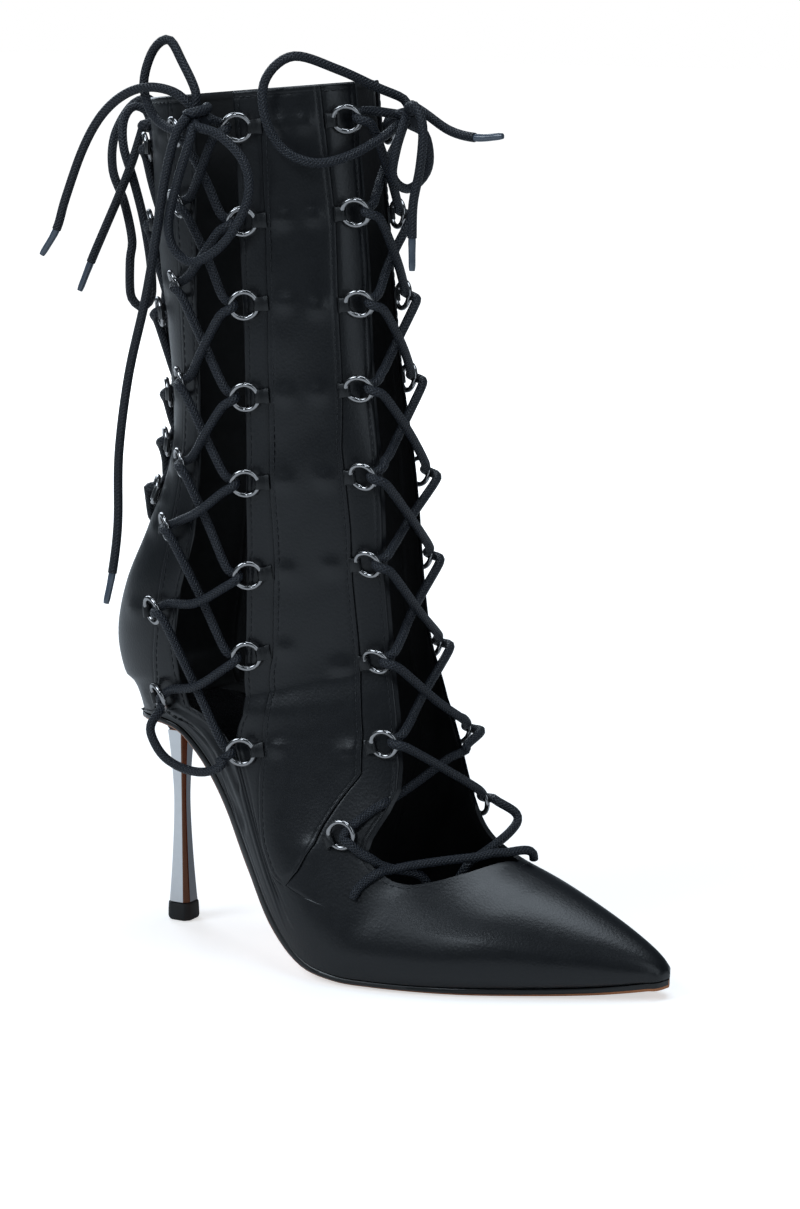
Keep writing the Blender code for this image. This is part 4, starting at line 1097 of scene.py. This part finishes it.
def seam_lines():
    """Places and outward directions along each seam, with its height in millimetres."""
    seams = []
    for number, offset, end, lift in SEAMS:
        rows = np.linspace(SEAM_START, end, int((end - SEAM_START) / SEAM_ROW_STEP))
        ways = [sheet_lines(row)[number] + offset * MM for row in rows]
        seams.append(([(skin(row, way), skin_normal(row, way)) for row, way in zip(rows, ways)], lift))
    # Round the collar, apart from the two gaps
    lines = sheet_lines(COLLAR_SEAM_ROW)
    for low, high in ((lines[0], lines[2] - 2 * MM), (lines[3] + 2 * MM, lines[6] - 2 * MM),
                      (lines[8] + 2 * MM, lines[11])):
        ways = np.linspace(low, high, max(4, int((high - low) / (3 * MM))))
        seams.append(([(skin(COLLAR_SEAM_ROW, way), skin_normal(0.1, way)) for way in ways], 0.1))
    # Round the toe end of the throat
    lines = sheet_lines(14.3)
    ways = np.linspace(lines[6] - 3 * MM, lines[8] + 1 * MM, 12)
    seams.append(([(skin(14.34, way), skin_normal(14.34, way)) for way in ways], -0.1))
    return seams


def stitch_places(points, lift):
    """Middle of each stitch of a seam, and its directions ahead, across and outwards."""
    run = distances([place for place, _ in points])
    for k in range(int(run[-1] / STITCH_PITCH)):
        distance = (k + 0.5) * STITCH_PITCH
        i = min(max(bisect.bisect_left(run, distance) - 1, 0), len(points) - 2)
        t = (distance - run[i]) / max(run[i + 1] - run[i], 1e-9)
        out = points[i][1].lerp(points[i + 1][1], t).normalized()
        ahead = (points[i + 1][0] - points[i][0]).normalized()
        middle = points[i][0].lerp(points[i + 1][0], t) + out * (lift + 0.1) * MM
        yield middle, ahead, out.cross(ahead).normalized(), out


def make_stitches(finishes):
    """All the stitches of the upper, as one piece."""
    verts, faces = [], []
    for points, lift in seam_lines():
        for middle, ahead, side, out in stitch_places(points, lift):
            base = len(verts)
            verts += [tuple(middle + ahead * x + side * y + out * z) for x, y, z in STITCH]
            last = len(verts) - STITCH_SIDES
            for first in range(base, last, STITCH_SIDES):
                for j in range(STITCH_SIDES):
                    a, b = first + j, first + (j + 1) % STITCH_SIDES
                    faces.append((a, b, b + STITCH_SIDES, a + STITCH_SIDES))
            faces.append(tuple(reversed(range(base, base + STITCH_SIDES))))
            faces.append(tuple(range(last, last + STITCH_SIDES)))
    mesh = bpy.data.meshes.new("stitches")
    mesh.from_pydata(verts, [], faces)
    obj = object_of("stitches", mesh, 0)
    form = bmesh.new()
    form.from_mesh(mesh)
    bmesh.ops.recalc_face_normals(form, faces=form.faces)
    form.to_mesh(mesh)
    form.free()
    finished(obj, [finishes["thread"]], "black_leather")


# Rings, tabs and lacing
RING_MIDDLE = 2.55 * MM
RING_TILT = math.radians(16)
# How far each column's rings are lifted towards the gap, and how far their tops stand out, in degrees
RING_LEANS = {"side_front": (20, 16), "side_back": (22, 15), "front_outer": (36, 24), "front_inner": (20, 10),
              "back_outer": (16, 9), "back_inner": (16, 9)}
WIRE_TO_LACE = 2.4 * MM
WIRE_SHOWN = 2.0 * MM
WIRE_CIRCLE = (RING_OUTSIDE - WIRE_SHOWN) / 2
# Low rings of the outer front column, which lie flatter
LOW_RINGS_FROM = 7
LOW_RING_LIFT = 14
LOW_RING_LEAN = 8


def ring_frame(column, number):
    """Place on the leather under a ring, and the directions towards the gap, down the boot and outwards."""
    row, way = ring_place(column, number)
    step = 2 * MM
    run = (skin(row, way + step) - skin(row, way - step)).normalized() * -TAB_SIDE[column]
    out = skin_normal(row, way)
    run = (run - out * run.dot(out)).normalized()
    down = skin(row + 0.04, way) - skin(row - 0.04, way)
    down = (down - out * down.dot(out)).normalized()
    down = (down - run * down.dot(run)).normalized()
    base = skin(row, way) + out * (0.3 * MM if column in BESIDE_PANEL else 0.0)
    return base, run, down, out


def ring_stand(column, number):
    """Middle of a ring, the direction from it to its free side, and its axis."""
    base, run, down, out = ring_frame(column, number)
    lift, lean = RING_LEANS[column]
    if column == "front_outer" and number >= LOW_RINGS_FROM:
        lift, lean = lift - LOW_RING_LIFT, lean - LOW_RING_LEAN
    tilt = math.radians(lift + 4 * math.sin(number * 2.3 + len(column)))
    swing = math.radians(lean + 5 * math.sin(number * 1.7 + 2 * len(column)))
    first = run * math.cos(tilt) + out * math.sin(tilt)
    axis = (out * math.cos(tilt) - run * math.sin(tilt)) * math.cos(swing) + down * math.sin(swing)
    held = run * math.cos(RING_TILT) + out * math.sin(RING_TILT)
    middle = base + out * RING_MIDDLE + (first - held) * WIRE_CIRCLE
    return middle, first, axis.normalized()


def make_rings(finishes):
    """The rings, each a round wire."""
    for column, number in ALL_RINGS:
        middle, _, axis = ring_stand(column, number)
        bpy.ops.mesh.primitive_torus_add(major_segments=40, minor_segments=12, minor_radius=WIRE_SHOWN / 2,
                                         major_radius=WIRE_CIRCLE)
        ring = bpy.context.object
        ring.name = f"lacing_ring_{column}_{number + 1}"
        turn = axis.to_track_quat("Z", "Y").to_matrix().to_4x4()
        ring.data.transform(Matrix.Translation(middle) @ turn)
        ring.data.shade_smooth()
        finished(ring, [finishes["ring"]], "ring_metal", f"ring_{column}_{number + 1}")
        ring.select_set(False)


# Tabs in millimetres: distance from the ring, height and width at the root, then distance and height of the fold
SHORT_TABS = ("side_back", "front_outer")
TAB_ROOTS = (7.4, 8.6)
TAB_FOLD = ((6.8, 0.85), (5.9, 1.75), (5.0, 2.25), (4.1, 2.1), (3.6, 1.4), (3.75, 0.55))
TAB_WIDTH = 5.0
TAB_THICK = 0.45 * MM
TAB_CORNER = 0.3 * MM


def make_tabs(finishes):
    """Short leather straps that hold the rings, each folded over its wire."""
    for column, number in ALL_RINGS:
        base, run, down, out = ring_frame(column, number)
        root = TAB_ROOTS[column not in SHORT_TABS]
        sections = ((root, 0.15, 5.6), (root - 1.0, 0.55, 5.5), *((t, n, TAB_WIDTH) for t, n in TAB_FOLD))
        centre = [base - run * t * MM + out * n * MM for t, n, _ in sections]
        rings = []
        for i, (_, _, width) in enumerate(sections):
            up = down.cross(heading(centre, i)).normalized()
            half = width / 2 * MM
            upper = ((-half, TAB_THICK * 0.6), (-half + TAB_CORNER, TAB_THICK), (half - TAB_CORNER, TAB_THICK),
                     (half, TAB_THICK * 0.6))
            corners = upper + tuple((a, -b) for a, b in reversed(upper))
            rings.append([centre[i] + down * a + up * b for a, b in corners])
        tab = ring_skin(f"tab_{column}_{number + 1}", rings, 50)
        finished(tab, [finishes["tab"]], "black_leather")


def ring_turn(column, number):
    """The lace at a ring: in under its free side from above, up through it and away over its free side."""
    _, run, down, out = ring_frame(column, number)
    middle, first, _ = ring_stand(column, number)
    wire = middle + first * (RING_OUTSIDE - RING_WIRE) / 2
    return [
        wire + run * 3.4 * MM - out * (WIRE_TO_LACE - 0.2 * MM) - down * 2.6 * MM,
        wire - out * WIRE_TO_LACE - down * 1.5 * MM + run * 0.3 * MM,
        wire - run * WIRE_TO_LACE - down * 0.2 * MM - out * 0.2 * MM,
        wire + out * WIRE_TO_LACE + down * 1.4 * MM,
        wire + run * 3.4 * MM + out * (WIRE_TO_LACE - 0.7 * MM) + down * 2.8 * MM,
    ]


def behind_seam(row, height):
    """Place straight behind the back seam, at a height over it in millimetres."""
    seam = girth(row, -1)
    out = skin_normal(row, 2 * MM - seam)
    out.y = 0
    return skin(row, -seam) + out.normalized() * height * MM


def lace_route(lacing, strand):
    """Chosen places of one of a lacing's two strands, from its knot down through its rings."""
    *columns, _ = LACINGS[lacing]
    count = len(RING_COLUMNS[columns[0]])
    route = [knot_place(lacing) + Vector((0, 0, -1.0 + 2.0 * strand)) * MM]
    previous = None
    for number in range(count):
        column = columns[(number + strand) % 2]
        turn = ring_turn(column, number)
        if number == count - 1 and strand == 0 and lacing != "back":
            base, run, down, out = ring_frame(column, number)
            low = base + out * (RING_MIDDLE + 1.6 * MM) + (down * 0.9 + run * 0.42) * 4.6 * MM
            turn = turn[:3] + [base + out * RING_MIDDLE + down * 1.5 * MM, low + out * 0.3 * MM]
        if previous:
            over = 1 if (number + strand) % 2 else -1
            leave, row_before = previous
            middle = leave.lerp(turn[0], 0.5)
            row = (row_before + ring_place(column, number)[0]) / 2
            if lacing == "back":
                middle = behind_seam(row, 3.9 + 1.75 * over)
            else:
                out = skin_normal(row, 0.0 if lacing == "front" else -0.9 * BALL_WIDTH)
                slack = 1.8 + 1.2 * math.sin(1.9 * number + 2.6 * strand)
                middle = middle + out * (1.8 * over) * MM - Vector((0, 0, slack)) * MM
            route.append(middle)
        route += turn
        previous = (turn[-1], ring_place(column, number)[0])
    return route


LACE_STEP = 1.5 * MM
# Lowest runs of the laces, in millimetres
SIDE_LOOP = ((10.5, -38.5, 88), (12.5, -39, 82), (18, -40, 76.5), (27, -41, 73.5), (37, -42, 73.5), (45, -42.5, 77))
FRONT_NEAR_END = ((107, -36.5, 46.5), (114.6, -30.5, 43), (121, -25.5, 41), (124, -23, 36))
FRONT_FAR_END = ((142, 14.5, 57), (141, 8.5, 51.5), (137, -3, 46.5), (133.5, -10, 43), (131, -14, 37))
FRONT_BAR = ((102.5, -42.5, 33), (103.5, -41.5, 36.5), (107.5, -38, 41), (115, -31.5, 44.0), (127, -21.5, 45.8),
             (138, -11.5, 46.6), (146, -2.5, 47.2), (150.5, 3.5, 47.4), (152.5, 6.5, 46.0), (152, 7.5, 43.0))
BACK_LOOP_ROW = 4.05


def make_lacing(finishes, guard):
    """The laces through their rings."""
    for lacing in LACINGS:
        routes = [lace_route(lacing, strand) for strand in (0, 1)]
        if lacing == "side":
            target = ring_turn("side_front", 7)
            routes[0] += in_metres(SIDE_LOOP) + [target[3] + Vector((0, -0.4, 0)) * MM]
        if lacing == "front":
            routes[0] += in_metres(FRONT_NEAR_END)
            routes[1] += in_metres(FRONT_FAR_END)
        if lacing == "back":
            routes[0] += [behind_seam(BACK_LOOP_ROW, 2.6), ring_turn("back_outer", 5)[3]]
        for number, route in enumerate(routes):
            fine = guard(smooth_route(route, LACE_STEP))
            lace = tube(f"lacing_{lacing}_{number + 1}", fine, LACE_DIAMETER / 2)
            finished(lace, [finishes["lace"]], "lace_cord", *([] if number else [f"lace_{lacing}"]))
    bar = guard(smooth_route(in_metres(FRONT_BAR), LACE_STEP))
    radii = [1.2 * MM] + [LACE_DIAMETER / 2] * (len(bar) - 1)
    finished(tube("lacing_front_bar", bar, radii), [finishes["lace"]], "lace_cord")


SHAFT_MIDDLE = 45 * MM


def leather_guard(upper):
    """Function that moves a route's points out of the leather and evens them."""
    form = bmesh.new()
    form.from_mesh(upper.data)
    tree = BVHTree.FromBMesh(form)
    form.free()
    clear = LACE_DIAMETER / 2 - 0.15 * MM

    def guard(points):
        points = [p.copy() for p in points]
        for _ in range(3):
            for i, point in enumerate(points):
                found = tree.find_nearest(point, 6 * MM)
                if found[0] is None:
                    continue
                place, normal, _, distance = found
                centre = Vector((SHAFT_MIDDLE, 0, place.z))
                outward = normal if normal.dot(place - centre) > 0 else -normal
                height = (point - place).dot(outward)
                if 0 <= height < clear or (height < 0 and distance < 2.5 * MM):
                    points[i] = point + outward * (clear - height)
            evened = [(a + b * 2 + c) / 4 for a, b, c in zip(points, points[1:], points[2:])]
            points = [points[0], *evened, points[-1]]
        return points

    return guard


# Sole and heel

# Outlines across the sheets of the sole: share of the half width, then share of the thickness
SOLE_RING = ((-0.92, 0.0), (-0.965, 0.12), (-0.99, 0.36), (-1.0, 0.5), (-1.0, 0.88), (-0.993, 1.0), (-0.5, 1.0),
             (0.0, 1.0), (0.5, 1.0), (0.993, 1.0), (1.0, 0.88), (1.0, 0.5), (0.99, 0.36), (0.965, 0.12), (0.92, 0.0),
             (0.5, 0.0), (0.0, 0.0), (-0.5, 0.0))
INSOLE_RING = ((-1.0, 0.0), (-1.0, 0.6), (-0.985, 0.9), (-0.95, 1.0), (-0.5, 1.0), (0.0, 1.0), (0.5, 1.0),
               (0.95, 1.0), (0.985, 0.9), (1.0, 0.6), (1.0, 0.0), (0.4, 0.0), (-0.4, 0.0))
SOLE_ENDS = (-0.0519 * TOE_REACH, 0.9995 * TOE_REACH)
SOLE_PIECES = 120
INSOLE_ENDS = (-0.043, 0.955)
INSOLE_PIECES = 110


def sheet_ring(x, outline, outer, inner, low, thick):
    """Ring of points across a sheet of the sole, from its half widths, lower face and thickness."""
    return [Vector((x, share * (outer if share < 0 else inner), low + thick * height)) for share, height in outline]


def make_outsole(finishes):
    """The outsole with a rounded painted edge and a tan tread."""
    first, last = SOLE_ENDS
    rows = []
    for i in range(SOLE_PIECES + 1):
        x = (first + last) / 2 - (last - first) / 2 * math.cos(math.pi * i / SOLE_PIECES)
        low = underside(x)
        outer, inner = (max(feather(x, side), 0.3 * MM) for side in (-1, 1))
        rows.append(sheet_ring(x, SOLE_RING, outer, inner, low, footbed(x) - SEAT_GAP - low))
    sole = ring_skin("sole", rows, 40)
    finished(sole, [finishes["edge"], finishes["tan"]], "sole_tan", "outsole")
    for face in sole.data.polygons:
        wide = abs(face.center.y) < 0.955 * max(feather(face.center.x, -1 if face.center.y < 0 else 1), 0.4 * MM)
        low = underside(face.center.x)
        share = (face.center.z - low) / max(footbed(face.center.x) - SEAT_GAP - low, 0.1 * MM)
        face.material_index = 1 if (wide and share < 0.5) or share < 0.28 else 0


def insole_width(x, side):
    """Half width of the insole, which lies inside the feather edge."""
    reach = min(feather(x - 1.5 * INSOLE_INSET, side), feather(x, side), feather(x + INSOLE_INSET, side))
    return max(reach - INSOLE_INSET, 1 * MM)


def make_insole(finishes):
    """The glossy insole, a thin sheet with rounded edges."""
    rows = []
    first, last = INSOLE_ENDS
    for i in range(INSOLE_PIECES + 1):
        x = (first + (last - first) * i / INSOLE_PIECES) * TOE_REACH
        outer, inner = (insole_width(x, side) for side in (-1, 1))
        rows.append(sheet_ring(x, INSOLE_RING, outer, inner, footbed(x), INSOLE_THICKNESS))
    finished(ring_skin("insole_sheet", rows, 40), [finishes["insole"]], "insole_black", "insole")


# The lift's height in millimetres and the share of its width, from the floor up
LIFT_RINGS = ((0.0, 0.9), (0.3, 0.955), (0.8, 0.985), (1.4, 1.0), (4.0, 0.99), (6.5, 0.965), (6.9, 0.95), (7.0, 0.93))
CORNER_CUT = 0.3 * MM
SPIKE_PIECES = 56
SPIKE_CURVE = 1.6
SPIKE_ROUNDING = 0.2 * MM
BLOCK_SIDES = 48
BLOCK_PIECES = 20
BLOCK_CURVE = 2.2


def cut_corner_square(width, height):
    """Ring of a square with cut corners round the Z axis, each corner made of two points."""
    half = width / 2
    low = half * HEEL_FLAT
    corners = ((half, low), (low, half), (-low, half), (-half, low), (-half, -low), (-low, -half), (low, -half),
               (half, -low))
    ring = []
    for i, (x, y) in enumerate(corners):
        for toward in (corners[i - 1], corners[(i + 1) % len(corners)]):
            run = Vector((toward[0] - x, toward[1] - y, 0))
            ring.append(Vector((x, y, height)) + run.normalized() * CORNER_CUT)
    return ring


def make_heel(finishes):
    """Rubber lift, faceted chrome heel with painted reflections on its forward facets, and the covered block above it.
    """
    lift = [cut_corner_square(LIFT_WIDTH * scale, height * MM) for height, scale in LIFT_RINGS]
    finished(ring_skin("lift", lift, 30), [finishes["rubber"]], "black_rubber", "top_lift")

    bottom = LIFT_HEIGHT + GAP
    top = BLOCK_HEIGHT - GAP
    rings = []
    even = [bottom + (top - bottom) * i / SPIKE_PIECES for i in range(1, SPIKE_PIECES)]
    heights = [bottom, bottom + SPIKE_ROUNDING, *even, top - SPIKE_ROUNDING, top]
    for height in heights:
        end = HEEL_FOOT_WIDTH if height < HEEL_WAIST_HEIGHT else HEEL_TOP_WIDTH
        span = HEEL_WAIST_HEIGHT - bottom if height < HEEL_WAIST_HEIGHT else top - HEEL_WAIST_HEIGHT
        flare = abs(height - HEEL_WAIST_HEIGHT) / span
        width = HEEL_WAIST_WIDTH + (end - HEEL_WAIST_WIDTH) * flare ** SPIKE_CURVE
        if height in (bottom, top):
            width -= 2 * SPIKE_ROUNDING
        rings.append(cut_corner_square(width, height))
    spike = ring_skin("heel_metal", rings, 12)
    finished(spike, [finishes["chrome"], finishes["painted_warm_reflection"], finishes["painted_dark_reflection"]], "bright_metal", "heel_spike")
    # Forward corner facets get a painted warm reflection and the front facet a painted dark reflection, chosen by the
    # way each facet faces
    for face in spike.data.polygons:
        if face.normal.x > 0.35 and abs(face.normal.y) > 0.35:
            face.material_index = 1
        elif face.normal.x > 0.6:
            face.material_index = 2

    rings = []
    for i in range(BLOCK_PIECES + 1):
        share = i / BLOCK_PIECES
        ring = []
        for j in range(BLOCK_SIDES):
            angle = math.tau * (j + 0.5) / BLOCK_SIDES
            corner = Vector((math.cos(angle), math.sin(angle), 0))
            wide, deep = abs(corner.x), abs(corner.y)
            low = corner * (HEEL_TOP_WIDTH / 2 / max(wide, deep, (wide + deep) / (1 + HEEL_FLAT)))
            seat = Vector((6 * MM + 13 * MM * corner.x, 12.5 * MM * corner.y, 0))
            place = low.lerp(seat, share ** BLOCK_CURVE)
            if i == 0:
                place *= 0.95
            place.z = BLOCK_HEIGHT + (underside(place.x) - SEAT_GAP - BLOCK_HEIGHT) * share
            ring.append(place)
        rings.append(ring)
    ends = [[sum(ring, Vector()) / BLOCK_SIDES] * BLOCK_SIDES for ring in (rings[0], rings[-1])]
    rings = [ends[0], *rings, ends[1]]
    finished(ring_skin("heel_cover", rings, 40, capped=False), [finishes["upper"]], "black_leather", "heel_block")


def main():
    make_camera()
    make_studio()
    finishes = make_finishes()
    make_bows(finishes)
    upper = make_upper(finishes)
    make_stitches(finishes)
    make_rings(finishes)
    make_tabs(finishes)
    make_lacing(finishes, leather_guard(upper))
    make_outsole(finishes)
    make_insole(finishes)
    make_heel(finishes)


main()
